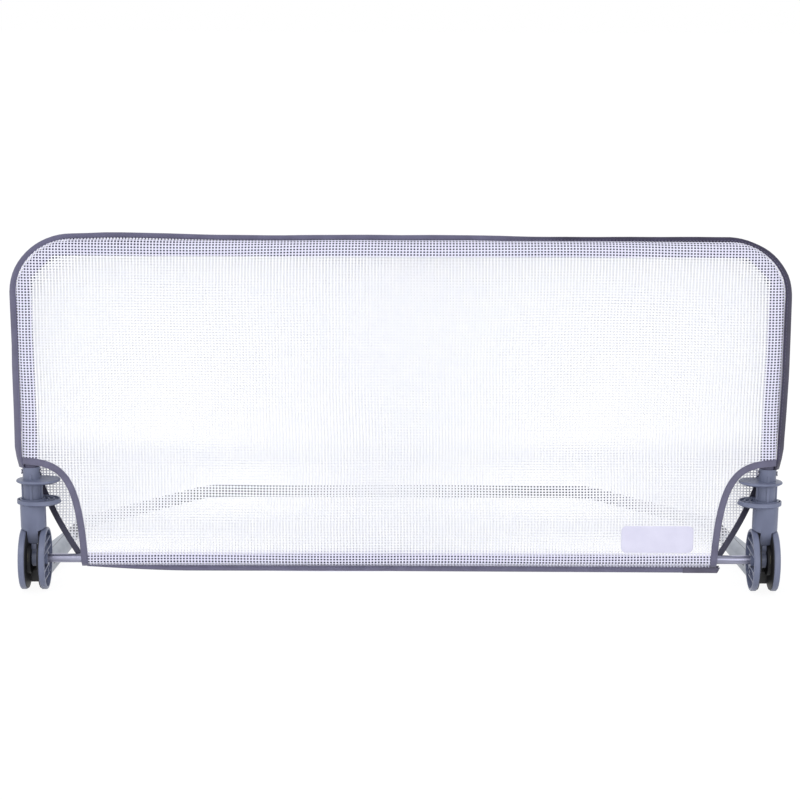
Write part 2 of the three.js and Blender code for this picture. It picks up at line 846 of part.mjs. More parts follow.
// The gaps of the net, as one solid that is cut out of a panel.
// The outermost columns stop above the cut-outs at the lower corners.
function netGaps(reach) {
  const pitchX = (2 * gapFieldHalfWidth) / gapColumns;
  const pitchZ = (gapFieldTop - gapFieldBottom) / gapRows;
  const gaps = [];
  for (let column = 0; column < gapColumns; column += 1) {
    for (let row = 0; row < gapRows; row += 1) {
      const fromX = -gapFieldHalfWidth + column * pitchX + netBar / 2;
      const fromZ = gapFieldBottom + row * pitchZ + netBar / 2;
      const outermost = column === 0 || column === gapColumns - 1;
      if (outermost && fromZ < cutStartHeight) continue;
      gaps.push(block(fromX, fromX + pitchX - netBar, -reach, reach, fromZ, fromZ + pitchZ - netBar));
    }
  }
  return joined(gaps);
}

// The curve of a cut-out in X and Z from the leg down to the hem, from insets and heights
function cutCurve(side, spots) {
  const points = spots.map(([inset, height]) => new THREE.Vector2(side * (halfLength - inset), height));
  return new THREE.CubicBezierCurve(...points).getPoints(curveSteps);
}

function frontCut(side) {
  return cutCurve(side, [
    [cutStartInset, cutStartHeight],
    [cutBulgeInset, cutStartHeight],
    [cutTurnInset, cutStartHeight - cutTurnDrop],
    [cutEndInset, cutEndHeight],
  ]);
}

function backCut(side) {
  return cutCurve(side, [
    [backStartInset, backStartHeight],
    [backBulgeInset, backBulgeHeight],
    [backTurnInset, backTurnHeight],
    [backEndInset, cutEndHeight],
  ]);
}

// Points in X and Z laid on a panel, with one more wherever they cross a bend of the panel
function onSheet(face, points, standOff) {
  const bends = sheetKnots(face).map(([z]) => z).reverse();
  const path = points.flatMap((p, i) => {
    if (i === 0) return [p];
    const before = points[i - 1];
    const crossed = bends.filter((z) => z < before.y && z > p.y);
    return [...crossed.map((z) => before.clone().lerp(p, (before.y - z) / (before.y - p.y))), p];
  });
  return path.map((p) => new THREE.Vector3(p.x, face * (sheetDepth(face, p.y) + standOff), p.y));
}

function rectangle(halfWidth, halfHeight) {
  return [
    new THREE.Vector2(-halfWidth, -halfHeight),
    new THREE.Vector2(halfWidth, -halfHeight),
    new THREE.Vector2(halfWidth, halfHeight),
    new THREE.Vector2(-halfWidth, halfHeight),
  ];
}

function binding(face, cut, width, grow) {
  const section = rectangle(width / 2 + grow, bindingHalfThickness + grow);
  return sweep(onSheet(face, cut, bindingStandOff), backY, section);
}

function frontBinding(side, grow = 0) {
  return binding(-1, frontCut(side), bindingWidth, grow);
}

function backBinding(side, grow = 0) {
  return binding(1, backCut(side), backBindingWidth, grow);
}

// The edge of a panel that wraps the frame tube from the face to the seam, down to a height
function wrap(face, bottom) {
  const inner = frameRadius + seatGap;
  const outer = inner + 2 * wrapHalf;
  const endAngle = Math.asin((seamHalfThickness + seatGap) / inner);
  const angles = Array.from({ length: wrapSteps + 1 }, (_, i) =>
    THREE.MathUtils.lerp(Math.PI / 2, endAngle, i / wrapSteps),
  );
  const arc = (radius) =>
    angles.map((a) => new THREE.Vector2(radius * Math.cos(a), face * radius * Math.sin(a)));
  const section = [
    new THREE.Vector2(-wrapToe, face * inner),
    new THREE.Vector2(-wrapToe, face * outer),
    ...arc(outer),
    ...arc(inner).reverse(),
  ];
  return sweep(framePath(bottom), backY, face < 0 ? section : section.reverse());
}

function panel(face, cut, startHeight, width, grownBinding) {
  const reach = legPoint(1, startHeight).x;
  const edge = (side) => cut(side).filter((p) => Math.abs(p.x) < reach);
  const frame = framePath(startHeight).map((p) => new THREE.Vector2(p.x, p.z));
  const cornerX = cut(1)[curveSteps].x;
  const bottom = [new THREE.Vector2(cornerX, panelBottom), new THREE.Vector2(-cornerX, panelBottom)];
  const shape = new THREE.Shape([...frame, ...edge(1), ...bottom, ...edge(-1).reverse()]);
  const reachY = 2 * bulgeOffset;
  const outline = prismY(shape, -reachY, reachY).subtract(netGaps(reachY));
  const heights = sheetKnots(face).map(([z]) => z);
  const sheetReach = legTopX + cutMargin;
  const sheet = prismX(sheetShape(face, -sheetHalf, sheetHalf, heights), -sheetReach, sheetReach);
  const edgeWrap = wrap(face, startHeight + width / 2 + seatGap);
  return without(joined([sheet.intersect(outline), edgeWrap]), [grownBinding(-1), grownBinding(1)]);
}

function meshFront() {
  return panel(-1, frontCut, cutStartHeight, bindingWidth, (side) => frontBinding(side, seatGap));
}

function meshBack() {
  return panel(1, backCut, backStartHeight, backBindingWidth, (side) => backBinding(side, seatGap));
}

function seamBinding() {
  const from = frameRadius + seatGap;
  const to = frameRadius + seamWidth;
  const section = [
    new THREE.Vector2(from, -seamHalfThickness),
    new THREE.Vector2(to, -seamHalfThickness),
    new THREE.Vector2(to, seamHalfThickness),
    new THREE.Vector2(from, seamHalfThickness),
  ];
  return sweep(framePath(seamBottom), backY, section);
}

// The hem binding, a channel folded up round the lower edges of both panels
function bottomBinding() {
  const inside = hemHalfThickness - hemWall;
  const channel = new THREE.Shape([
    new THREE.Vector2(-hemHalfThickness, hemBottom),
    new THREE.Vector2(hemHalfThickness, hemBottom),
    new THREE.Vector2(hemHalfThickness, hemTop),
    new THREE.Vector2(inside, hemTop),
    new THREE.Vector2(inside, hemBottom + hemWall),
    new THREE.Vector2(-inside, hemBottom + hemWall),
    new THREE.Vector2(-inside, hemTop),
    new THREE.Vector2(-hemHalfThickness, hemTop),
  ]);
  return prismX(channel, -hemHalfLength, hemHalfLength);
}

function labelPatch() {
  const inner = sheetHalf + seatGap;
  const shape = sheetShape(-1, inner, inner + labelThickness, [labelBottom, labelTop]);
  return prismX(shape, labelFromX, labelToX);
}

// Assembly

const slate = { color: 0x767a92, roughness: 0.45, metalness: 0 };
const black = { color: 0x212124, roughness: 0.6, metalness: 0 };
const grey = { color: 0x969ca5, roughness: 0.5, metalness: 0 };
const steel = { color: 0xc4c6cc, roughness: 0.3, metalness: 0.9 };
const paintedTube = { color: 0x9a9ab0, roughness: 0.35, metalness: 0.5 };
const whiteMesh = { color: 0xf4f4fb, roughness: 0.9, metalness: 0 };
const slateTape = { color: 0x73708a, roughness: 0.9, metalness: 0 };
const darkTape = { color: 0x383646, roughness: 0.9, metalness: 0 };
const paleLabel = { color: 0xe4e2f5, roughness: 0.7, metalness: 0 };

function node(name, solid, material) {
  const mesh = new THREE.Mesh(toGeometry(solid), new THREE.MeshStandardMaterial(material));
  mesh.name = name;
  return mesh;
}

// The pieces of one side; side is -1 for the left and 1 for the right
function sideGroup(name, side) {
  const group = new THREE.Group();
  group.position.set(side * hubX, 0, hubRadius);
  group.scale.x = side;
  group.add(
    node(`hub_outer_cheek_${name}`, outerCheek(), slate),
    node(`hub_inner_cheek_${name}`, innerCheek(), slate),
    node(`hub_core_${name}`, core(), black),
    node(`arm_socket_${name}`, armSocket(), grey),
    node(`hub_screw_upper_${name}`, hubScrew(hubScrewSpots[1]), steel),
    node(`hub_screw_lower_${name}`, hubScrew(hubScrewSpots[0]), steel),
    node(`socket_screw_${name}`, socketScrew(), steel),
    node(`axle_cap_${name}`, axleCap(), slate),
    legGroup(name),
  );
  return group;
}

function legGroup(name) {
  const leg = new THREE.Group();
  leg.rotation.y = legLean;
  leg.add(
    node(`post_${name}`, post(), slate),
    node(`lock_sleeve_${name}`, lockSleeve(), slate),
    node(`lock_spring_${name}`, lockSpring(), steel),
    node(`upper_collar_${name}`, upperCollar(), slate),
    node(`post_rivet_${name}`, postRivet(), steel),
  );
  return leg;
}

const guardRail = new THREE.Group();
guardRail.add(
  sideGroup("left", -1),
  sideGroup("right", 1),
  node("cross_tube", crossTube().translate([0, 0, hubRadius]), steel),
  node("top_frame", topFrame(), paintedTube),
  node("base_frame", baseFrame(), paintedTube),
  node("mesh_front", meshFront(), whiteMesh),
  node("mesh_back", meshBack(), whiteMesh),
  node("seam_binding", seamBinding(), slateTape),
  node("bottom_binding", bottomBinding(), slateTape),
  node("front_binding_left", frontBinding(-1), slateTape),
  node("front_binding_right", frontBinding(1), slateTape),
  node("back_binding_left", backBinding(-1), darkTape),
  node("back_binding_right", backBinding(1), darkTape),
  node("label_patch", labelPatch(), paleLabel),
);

// The origin lies on the floor under the middle of the part's box
guardRail.position.y = (hubRadius - farBarDistance - baseRadius) / 2;

export default guardRail;
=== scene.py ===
"""Dresses the folding bed guard rail: mesh cover, bindings, label, materials, light and camera."""

import math

import bpy
from mathutils import Matrix, Vector


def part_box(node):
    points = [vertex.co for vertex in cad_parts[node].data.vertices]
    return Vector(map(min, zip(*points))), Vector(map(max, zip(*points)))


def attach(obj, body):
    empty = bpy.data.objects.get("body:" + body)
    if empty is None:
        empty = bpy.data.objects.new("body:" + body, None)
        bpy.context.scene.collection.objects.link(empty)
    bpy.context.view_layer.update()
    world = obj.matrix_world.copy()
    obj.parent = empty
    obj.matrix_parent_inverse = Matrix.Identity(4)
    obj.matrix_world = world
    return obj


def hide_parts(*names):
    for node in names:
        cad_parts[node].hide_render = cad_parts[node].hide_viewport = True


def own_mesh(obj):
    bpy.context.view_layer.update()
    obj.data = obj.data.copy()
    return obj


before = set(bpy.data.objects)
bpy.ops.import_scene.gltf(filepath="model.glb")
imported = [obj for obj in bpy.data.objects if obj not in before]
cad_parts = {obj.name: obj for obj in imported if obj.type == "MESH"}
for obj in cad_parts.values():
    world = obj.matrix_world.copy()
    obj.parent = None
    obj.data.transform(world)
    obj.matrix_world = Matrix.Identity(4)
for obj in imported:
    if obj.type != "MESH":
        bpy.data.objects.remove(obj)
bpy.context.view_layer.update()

# Camera, fitted to the photograph, which is 800 pixels wide. Its place is in metres.
FOCAL_PIXELS = 2399.148
PICTURE_PIXELS = 800.0
SENSOR_WIDTH = 36.0
CAMERA_PLACE = Vector((-0.01596, -2.95886, 0.75981))
CAMERA_YAW = 0.0058
CAMERA_PITCH = 0.1921
CAMERA_ROLL = 0.0043

camera_data = bpy.data.cameras.new("camera")
camera_data.sensor_width = SENSOR_WIDTH
camera_data.lens = SENSOR_WIDTH * FOCAL_PIXELS / PICTURE_PIXELS
camera_data.clip_end = 50.0
camera = bpy.data.objects.new("camera", camera_data)
bpy.context.scene.collection.objects.link(camera)
bpy.context.scene.camera = camera


def aim_camera(place, yaw, pitch, roll):
    """Yaw is towards +X, pitch is downwards, and roll turns what is seen clockwise."""
    across = math.cos(pitch)
    ahead = Vector((math.sin(yaw) * across, math.cos(yaw) * across, -math.sin(pitch)))
    level = Vector((math.cos(yaw), -math.sin(yaw), 0))
    above = level.cross(ahead)
    right = math.cos(roll) * level + math.sin(roll) * above
    up = math.cos(roll) * above - math.sin(roll) * level
    columns = Matrix((right, up, -ahead)).transposed().to_4x4()
    camera.matrix_world = Matrix.Translation(place) @ columns


aim_camera(CAMERA_PLACE, CAMERA_YAW, CAMERA_PITCH, CAMERA_ROLL)

# Sizes in millimetres, as in the CAD source. Y is counted from the axle.
MM = 0.001
AXLE_Y = -221.2
HUB_X = 428.432
HUB_Z = 36.8
LEAN = math.radians(1.1)
ARM_SLANT = 0.0838
TOP_Z = 404.0
CORNER_R = 56.4
SIDES = ((-1, "left"), (1, "right"))

# Cover: its middle radius on the frame tube, how far a panel there lies from the frame's plane,
# half the gap between the panels at the seam, and how far the seam lies from the tube's middle
# line along the cloth
SKIN_R = 9.8
PANEL_Y = 9.85
SEAM_GAP = 1.7
WRAP_END = SKIN_R * (math.pi / 2 - math.asin(SEAM_GAP / SKIN_R))
PANEL_HIGH = 420.0

# Cut-outs at the lower corners, each a curve of four points (distance from the middle, height)
HEM_REACH = 370.0
FRONT_CUT = ((443.6, 155.6), (391.5, 155.6), (374.2, 139.6), (369.0, 28.6))
BACK_CUT = ((432.0, 189.9), (432.0, 120.0), (409.0, 86.0), (370.5, 30.2))

# Each panel's distance from the frame's plane, as (height, distance)
LOW_KNOTS = ((22.0, 2.3), (29.4, 2.3), (33.4, 7.4), (42.0, 7.4))
FRONT_KNOTS = LOW_KNOTS + ((150.0, PANEL_Y), (PANEL_HIGH, PANEL_Y))
BACK_KNOTS = LOW_KNOTS + ((96.0, 21.7), (136.0, 21.7), (189.9, PANEL_Y), (PANEL_HIGH, PANEL_Y))

# Net. The threads of the two panels lie beside each other by a share of the pitch.
PITCH_X = 3.72
PITCH_Z = 3.3
THREAD_X = 1.6
THREAD_Z = 1.42
UPRIGHT_THICK = 0.44
LEVEL_THICK = 0.32
THREAD_FLAT = 0.36
COLUMN_SHIFT = 0.25
ROW_SHIFT = 0.35
FIRST_ROW = 7
UPRIGHT_STEP = 30.0
LEVEL_STEP = 40.0
BEND_STEP = 4.0

# How far the seam stands off the frame tube, where the cover is loose: along the top by X, down the
# legs by Z and round the corners by the angle from the leg
TOP_LOOSE = (
    (-374, 1.2), (-335, 2.5), (-300, 2.3), (-250, 1.0), (-200, 0.1), (-130, 0.0), (-70, 0.7),
    (0, 0.5), (80, 0.8), (130, -0.2), (165, -0.8), (270, -0.7), (374, -0.4),
)
LEG_LOOSE = {
    -1: ((150, 2.6), (175, 2.0), (210, 1.4), (265, 1.1), (290, 0.3), (350, 0.2)),
    1: ((150, 1.8), (175, 1.4), (210, 2.3), (260, 3.0), (300, 2.4), (350, 1.5)),
}
CORNER_LOOSE = {
    -1: ((0, 0.2), (25, 1.6), (45, 1.3), (70, 1.0), (90, 1.2)),
    1: ((0, 1.5), (20, 2.0), (35, 1.0), (50, 0.0), (65, -1.4), (80, -1.0), (90, -0.4)),
}


def at(x, y, z):
    return Vector((x * MM, (y + AXLE_Y) * MM, z * MM))


# Meshes from points
def new_piece(name, points, faces, smooth=True):
    mesh = bpy.data.meshes.new(name)
    mesh.from_pydata([tuple(p) for p in points], [], faces)
    if smooth:
        mesh.shade_smooth()
    mesh.update()
    piece = bpy.data.objects.new(name, mesh)
    bpy.context.scene.collection.objects.link(piece)
    return piece


class Shape:
    """Gathers the points and faces of one piece."""

    def __init__(self):
        self.points = []
        self.faces = []

    def strip(self, rings):
        """Joins rings of equally many points into a tube with closed ends."""
        first = len(self.points)
        count = len(rings[0])
        for ring in rings:
            self.points.extend(ring)
        for i in range(len(rings) - 1):
            for j in range(count):
                a = first + i * count + j
                b = first + i * count + (j + 1) % count
                self.faces.append((a, b, b + count, a + count))
        last = first + (len(rings) - 1) * count
        self.faces.append(tuple(first + j for j in reversed(range(count))))
        self.faces.append(tuple(last + j for j in range(count)))


def section_ring(centre, across, outward, section):
    return [centre + across * (u * MM) + outward * (v * MM) for u, v in section]


def sweep(places, section):
    """Rings of a section along a line of (point, normal)."""
    rings = []
    for i, (centre, normal) in enumerate(places):
        ahead = places[min(i + 1, len(places) - 1)][0] - places[max(i - 1, 0)][0]
        across = ahead.cross(normal).normalized()
        rings.append(section_ring(centre, across, normal, section))
    return rings


def rounded_section(half_width, half_thick, steps=4):
    """A flat tape's section with round edges, as (across, outward) in millimetres."""
    ring = []
    for sign in (1, -1):
        for i in range(steps + 1):
            angle = math.pi * (i / steps - 0.5)
            u = sign * (half_width - half_thick + half_thick * math.cos(angle))
            ring.append((u, sign * half_thick * math.sin(angle)))
    return ring


# The cover's surface, from flat coordinates that run on round the frame tube
def leg_x(z):
    return HUB_X + (z - HUB_Z) * math.tan(LEAN)


CORNER = Vector((leg_x(TOP_Z - CORNER_R) - CORNER_R / math.cos(LEAN), TOP_Z - CORNER_R))
LEG_NORMAL = Vector((math.cos(LEAN), -math.sin(LEAN)))


def past_tube(x, z):
    """(distance outwards from the tube's middle line, outward direction) for x over zero."""
    arm = Vector((x, z)) - CORNER
    if arm.x > 0 and arm.dot(Vector((math.sin(LEAN), math.cos(LEAN)))) > 0:
        return arm.length - CORNER_R, arm.normalized()
    if arm.x <= 0 and arm.y > 0 and arm.y > arm.x:
        return z - TOP_Z, Vector((0, 1))
    return (x - leg_x(z)) * math.cos(LEAN), LEG_NORMAL


def between(table, v):
    """The value of a table of (place, value) at v."""
    for (v0, d0), (v1, d1) in zip(table, table[1:]):
        if v <= v1:
            return d0 + (d1 - d0) * max(v - v0, 0) / (v1 - v0)
    return table[-1][1]


def loose_at(side, x, z):
    """How far the seam stands off at x over zero on one side."""
    if z > TOP_Z - CORNER_R and x > CORNER.x:
        arm = Vector((x, z)) - CORNER
        return between(CORNER_LOOSE[side], math.degrees(math.atan2(arm.y, arm.x)))
    if x > CORNER.x:
        return between(LEG_LOOSE[side], z)
    return between(TOP_LOOSE, side * x)


# Half the height over which a panel's slope is taken
SLOPE_REACH = 1.5


def skin(face, x, z, lift=0.0):
    """(point, outward normal) of a panel at flat coordinates. face is -1 for front, 1 for back."""
    side = -1 if x < 0 else 1
    past, out = past_tube(abs(x), z)
    knots = FRONT_KNOTS if face < 0 else BACK_KNOTS
    if past <= 0:
        low = between(knots, z - SLOPE_REACH)
        high = between(knots, z + SLOPE_REACH)
        normal = Vector((0, face, -(high - low) / (2 * SLOPE_REACH))).normalized()
        place = at(x, face * between(knots, z), z)
    else:
        angle = past / SKIN_R
        slack = max(loose_at(side, abs(x), z), 0.0) * min(past / WRAP_END, 1.0) ** 2
        reach = SKIN_R * math.sin(angle) + slack - past
        turn = math.sin(angle)
        normal = Vector((side * out.x * turn, face * math.cos(angle), out.y * turn))
        base = max(between(knots, z) - PANEL_Y, 0.0)
        y = face * (SKIN_R * math.cos(angle) + base)
        place = at(x + side * out.x * reach, y, z + out.y * reach)
    return place + normal * (lift * MM), normal


def bezier(spots, count):
    (x0, z0), (x1, z1), (x2, z2), (x3, z3) = spots
    points = []
    for i in range(count + 1):
        t = i / count
        s = 1 - t
        a, b, c, d = s**3, 3 * s * s * t, 3 * s * t * t, t**3
        points.append((a * x0 + b * x1 + c * x2 + d * x3, a * z0 + b * z1 + c * z2 + d * z3))
    return points


# The hem, whose lower edge rises towards its left end, and how far over that edge the threads start
HEM_HALF = 372.0
HEM_LOW = 22.0
HEM_RISE = 5.6
HEM_RISE_LENGTH = 125.0
UPRIGHT_START = 1.5
LEVEL_START = 1.0


def hem_sag(x):
    """How far the hem hangs lower towards the right, 1 mm at its end."""
    return max(x, 0.0) / HEM_HALF


def hem_bottom(x):
    """The lower edge of the hem binding, which rises towards its left end."""
    rise = max(1 - (x + HEM_HALF) / HEM_RISE_LENGTH, 0.0) ** 1.6
    return HEM_LOW + HEM_RISE * rise - hem_sag(x)


def cut_height(curve, x):
    """The lowest height of a panel at x."""
    away = abs(x)
    if away <= min(curve[-1][0], HEM_REACH):
        return hem_bottom(x) + UPRIGHT_START
    for (x0, z0), (x1, z1) in zip(curve, curve[1:]):
        if x1 <= away <= x0:
            return z1 + (z0 - z1) * (away - x1) / max(x0 - x1, 1e-6)
    return curve[-1][1] if away < curve[-1][0] else curve[0][1]


def cut_reach(curve, z):
    """How far from the middle a panel reaches at a height below the cut-out's start."""
    for (x0, z0), (x1, z1) in zip(curve, curve[1:]):
        if z1 <= z <= z0:
            return x1 + (x0 - x1) * (z - z1) / max(z0 - z1, 1e-6)
    return curve[-1][0]


# Mesh panels of flat threads
def sway(x, z):
    """The small unevenness of the stretched net: waves of 0.5 to 1.5 mm, the largest at the top."""
    near_top = math.exp(-((TOP_Z - z) / 160.0) ** 2)
    along = 0.9 * math.sin(z / 61.0 + x / 210.0) + 0.5 * math.sin(z / 23.0 - x / 90.0)
    up = 1.5 * math.sin(x / 140.0 + 0.6) * near_top + 0.5 * math.sin(x / 47.0 + z / 120.0)
    return along, up


def lattice(x, z):
    """Where a crossing of the net lies in flat coordinates."""
    along, up = sway(x, z)
    return x + along, z + up


def levels(low, high, coarse, fine, fine_from):
    """Steps from low to high, fine above fine_from."""
    steps = []
    z = low
    while z < high:
        steps.append(z)
        z += coarse if z + coarse < fine_from else fine
    steps.append(high)
    return steps


# How often a search for the seam halves its range, and how many straight parts a cut-out has
HALVINGS = 24
NET_CURVE_STEPS = 40
TAPE_CURVE_STEPS = 60


def last_inside(past_at, low, high):
    """The largest value from low to high at which past_at isn't over the seam's, or None."""
    if past_at(low) > WRAP_END:
        return None
    for _ in range(HALVINGS):
        middle = (low + high) / 2
        if past_at(middle) > WRAP_END:
            high = middle
        else:
            low = middle
    return low


def top_of(x):
    """The height at which a strand at x reaches the seam."""
    low, high = TOP_Z - 2 * CORNER_R, TOP_Z + WRAP_END + 1
    return last_inside(lambda z: past_tube(abs(x), z)[0], low, high)


def reach_of(z):
    """The distance from the middle at which a strand at height z reaches the seam."""
    return last_inside(lambda x: past_tube(x, z)[0], 0.0, HUB_X + 40)


def thread(shape, face, spots, width, thick):
    """One flat thread through flat coordinates.

    Upright and level threads differ in thickness, so that no faces meet where they cross.
    """
    flat = width * THREAD_FLAT
    section = ((-width / 2, 0), (-flat, -thick / 2), (flat, -thick / 2))
    section += tuple((-u, -v) for u, v in section)
    shape.strip(sweep([skin(face, x, z) for x, z in spots], section))


def run_length(spots):
    return sum(math.dist(a, b) for a, b in zip(spots, spots[1:]))


def net(name, face, spots):
    """One mesh panel. Returns the piece and the flat area of its cloth in square metres."""
    curve = bezier(spots, NET_CURVE_STEPS)
    knots = [z for z, _ in (FRONT_KNOTS if face < 0 else BACK_KNOTS)]
    shape = Shape()
    area = 0.0
    columns = int(HUB_X * 1.05 / PITCH_X)
    for i in range(-columns, columns + 1):
        x = (i + COLUMN_SHIFT * face) * PITCH_X
        high = top_of(x)
        low = cut_height(curve, x)
        if high is None or high <= low:
            continue
        bend = TOP_Z - CORNER_R if abs(x) > CORNER.x else TOP_Z - BEND_STEP
        marks = levels(low, high, UPRIGHT_STEP, BEND_STEP, bend)
        marks = sorted(set(marks + [z for z in knots if low < z < high]))
        line = [lattice(x, z) if z < high else (x, z) for z in marks]
        thread(shape, face, line, THREAD_X, UPRIGHT_THICK)
        area += run_length(line) * PITCH_X
    rows = int(PANEL_HIGH / PITCH_Z)
    for j in range(FIRST_ROW, rows + 2):
        z = (j + ROW_SHIFT * (face + 1)) * PITCH_Z
        reach = reach_of(z)
        if reach is None:
            continue
        if z < curve[0][1]:
            reach = min(reach, cut_reach(curve, z))
        if z < curve[-1][1]:
            reach = min(reach, HEM_REACH)
        inner = min(reach, CORNER.x if z > TOP_Z - CORNER_R else leg_x(z) - 3)
        half = levels(0.0, reach, LEVEL_STEP, BEND_STEP, inner)
        marks = sorted({-v for v in half} | set(half))
        marks = [x for x in marks if z > hem_bottom(x) + LEVEL_START]
        line = [lattice(x, z) if abs(x) < reach else (x, z) for x in marks]
        thread(shape, face, line, THREAD_Z, LEVEL_THICK)
    return new_piece(name, shape.points, shape.faces, False), area * MM * MM


# Tapes and their stitches
TAPE_HALF_THICK = 0.9
STITCH_LENGTH = 2.6
STITCH_GAP = 1.4
STITCH_RADIUS = 0.32
STITCH_WIDENING = 1.3
STITCH_SINK = 0.8
STITCH_ENDS = ((0, 0.35), (0.2, 1), (0.8, 1), (1, 0.35))


def tape(name, places, half_width):
    """A tape along a line of (point, normal)."""
    shape = Shape()
    shape.strip(sweep(places, rounded_section(half_width, TAPE_HALF_THICK)))
    return new_piece(name, shape.points, shape.faces)


def stitch(shape, start, ahead, across, normal):
    """One stitch: a flattened bead from start along ahead."""
    rings = []
    for along, share in STITCH_ENDS:
        rise = (share - STITCH_SINK) * STITCH_RADIUS * MM
        centre = start + ahead * (along * STITCH_LENGTH * MM) + normal * rise
        section = []
        for k in range(6):
            angle, radius = k * math.pi / 3, share * STITCH_RADIUS
            section.append((radius * STITCH_WIDENING * math.cos(angle), radius * math.sin(angle)))
        rings.append(section_ring(centre, across, normal, section))
    shape.strip(rings)


def stitches(name, lines):
    """Short thread stitches along lines of (point, normal)."""
    shape = Shape()
    for places in lines:
        travelled = 0.0
        for (p, normal), (q, _) in zip(places, places[1:]):
            span = (q - p).length / MM
            ahead = (q - p).normalized()
            across = ahead.cross(normal).normalized()
            while travelled < span:
                start = p + ahead * (travelled * MM)
                stitch(shape, start, ahead, across, normal)
                travelled += STITCH_LENGTH + STITCH_GAP
            travelled -= span
    return new_piece(name, shape.points, shape.faces)


def cut_line(face, spots, side, lift, shift=0.0):
    """A line of (point, normal) along a cut-out, moved inwards over the panel by shift."""
    curve = bezier(spots, TAPE_CURVE_STEPS)
    places = []
    for i, (x, z) in enumerate(curve):
        x0, z0 = curve[max(i - 1, 0)]
        x1, z1 = curve[min(i + 1, len(curve) - 1)]
        ahead = Vector((x1 - x0, z1 - z0)).normalized()
        inward = Vector((ahead.y, -ahead.x))
        places.append(skin(face, side * (x + inward.x * shift), z + inward.y * shift, lift))
    return places


LEG_STEP = 12.0
CORNER_STEPS = 16
TOP_STEPS = 20


def frame_line(low):
    """(middle line point, outward direction) round the frame from left to right, in X and Z."""
    half = []
    z = low
    while z < TOP_Z - CORNER_R:
        half.append((Vector((leg_x(z), z)), LEG_NORMAL))
        z += LEG_STEP
    for i in range(CORNER_STEPS + 1):
        angle = -LEAN + (math.pi / 2 + LEAN) * i / CORNER_STEPS
        out = Vector((math.cos(angle), math.sin(angle)))
        half.append((CORNER + out * CORNER_R, out))
    for i in range(1, TOP_STEPS):
        half.append((Vector((CORNER.x * (1 - i / TOP_STEPS), TOP_Z)), Vector((0, 1))))
    left = [(Vector((-p.x, p.y)), Vector((-n.x, n.y))) for p, n in half]
    middle = [(Vector((0.0, TOP_Z)), Vector((0, 1)))]
    return left + middle + half[::-1]


front_net, front_area = net("cover_mesh_front", -1, FRONT_CUT)
back_net, back_area = net("cover_mesh_back", 1, BACK_CUT)
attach(front_net, "rail")
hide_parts("mesh_front")
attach(back_net, "rail")
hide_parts("mesh_back")

# Seam binding: a tape round the outside of the frame, whose inner edge turns to the front on the
# legs. Radii and reaches are counted from the frame tube's middle line, folds are angles round it.
SEAM_LOW = 147.0
SEAM_HALF_THICK = 1.25
SEAM_EDGE_STEPS = 5
SEAM_INNER_R = 9.35
SEAM_TIP_REACH = 10.9
SEAM_WIDENING = 4.7
SEAM_NARROW_FROM = 149.3
SEAM_NARROW_LENGTH = 19.0
SEAM_FOLD = 0.82
SEAM_FOLD_LENGTH = 30.0
LEG_FOLD = 0.74
FOLD_LIFT = 1.6
SEAM_TIGHT_LENGTH = 6.0
SEAM_WAVE = 0.25
SEAM_STITCH_FROM = 14.0
SEAM_STITCH_INSET = 1.8


def share_past(value, start, length):
    """How far value is past start, as a share of length from 0 to 1."""
    return min(max((value - start) / length, 0.0), 1.0)


def seam_reach(z):
    """The seam binding's outer radius, which narrows towards its lower ends."""
    share = share_past(z, SEAM_NARROW_FROM, SEAM_NARROW_LENGTH)
    return SEAM_TIP_REACH + SEAM_WIDENING * share**0.8


def seam_fold(z):
    """How far the inner edge turns to the front round the tube: more at the lower ends."""
    end = share_past(z, SEAM_LOW, SEAM_FOLD_LENGTH)
    bend = share_past(z, TOP_Z - CORNER_R, CORNER_R)
    return max(SEAM_FOLD * (1 - end) ** 1.3, LEG_FOLD * (1 - bend))


def seam_section(point):
    """(inner end, outward direction, width) of the seam's section, in reach and Y."""
    loose = loose_at(-1 if point.x < 0 else 1, abs(point.x), point.y)
    fold = seam_fold(point.y)
    tight = share_past(point.y, SEAM_LOW, SEAM_TIGHT_LENGTH)
    radius = SEAM_INNER_R + max(loose, 0.0) * tight + FOLD_LIFT * fold
    inner = Vector((radius * math.cos(fold), -radius * math.sin(fold)))
    wave = SEAM_WAVE * math.sin(point.x / 19.0) * math.sin(point.x / 31.0)
    along = Vector((seam_reach(point.y) + loose + wave, 0.0)) - inner
    return inner, along.normalized(), along.length


def seam_spot(point, out, u, v):
    """The place u outwards from the seam's inner end and v towards its back."""
    inner, along, _ = seam_section(point)
    r, y = inner + along * u + Vector((-along.y, along.x)) * v
    return at(point.x + out.x * r, y, point.y + out.y * r)


def seam_piece():
    shape = Shape()
    rings = []
    for point, out in frame_line(SEAM_LOW):
        half = seam_section(point)[2] / 2
        section = rounded_section(half, SEAM_HALF_THICK, SEAM_EDGE_STEPS)
        rings.append([seam_spot(point, out, half + u, v) for u, v in section])
    shape.strip(rings)
    return new_piece("cover_seam_binding", shape.points, shape.faces)


def seam_stitch_line(face):
    """A line of (point, normal) near the seam's inner edge, on its front or back."""
    places = []
    for point, out in frame_line(SEAM_LOW + SEAM_STITCH_FROM):
        along = seam_section(point)[1]
        normal = Vector((-along.y * out.x, along.x, -along.y * out.y)) * face
        place = seam_spot(point, out, SEAM_STITCH_INSET, face * SEAM_HALF_THICK)
        places.append((place, normal))
    return places


seam = seam_piece()
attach(seam, "rail")
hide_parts("seam_binding")
seam_thread = stitches("cover_seam_stitches", [seam_stitch_line(face) for face in (-1, 1)])
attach(seam_thread, "rail")

# Bindings along the cut-outs
FRONT_TAPE_HALF = 4.1
BACK_TAPE_HALF = 3.6
TAPE_LIFT = 0.35
STITCH_LIFT = 1.3
FRONT_STITCH_INSET = 2.9
BACK_STITCH_INSET = 2.0

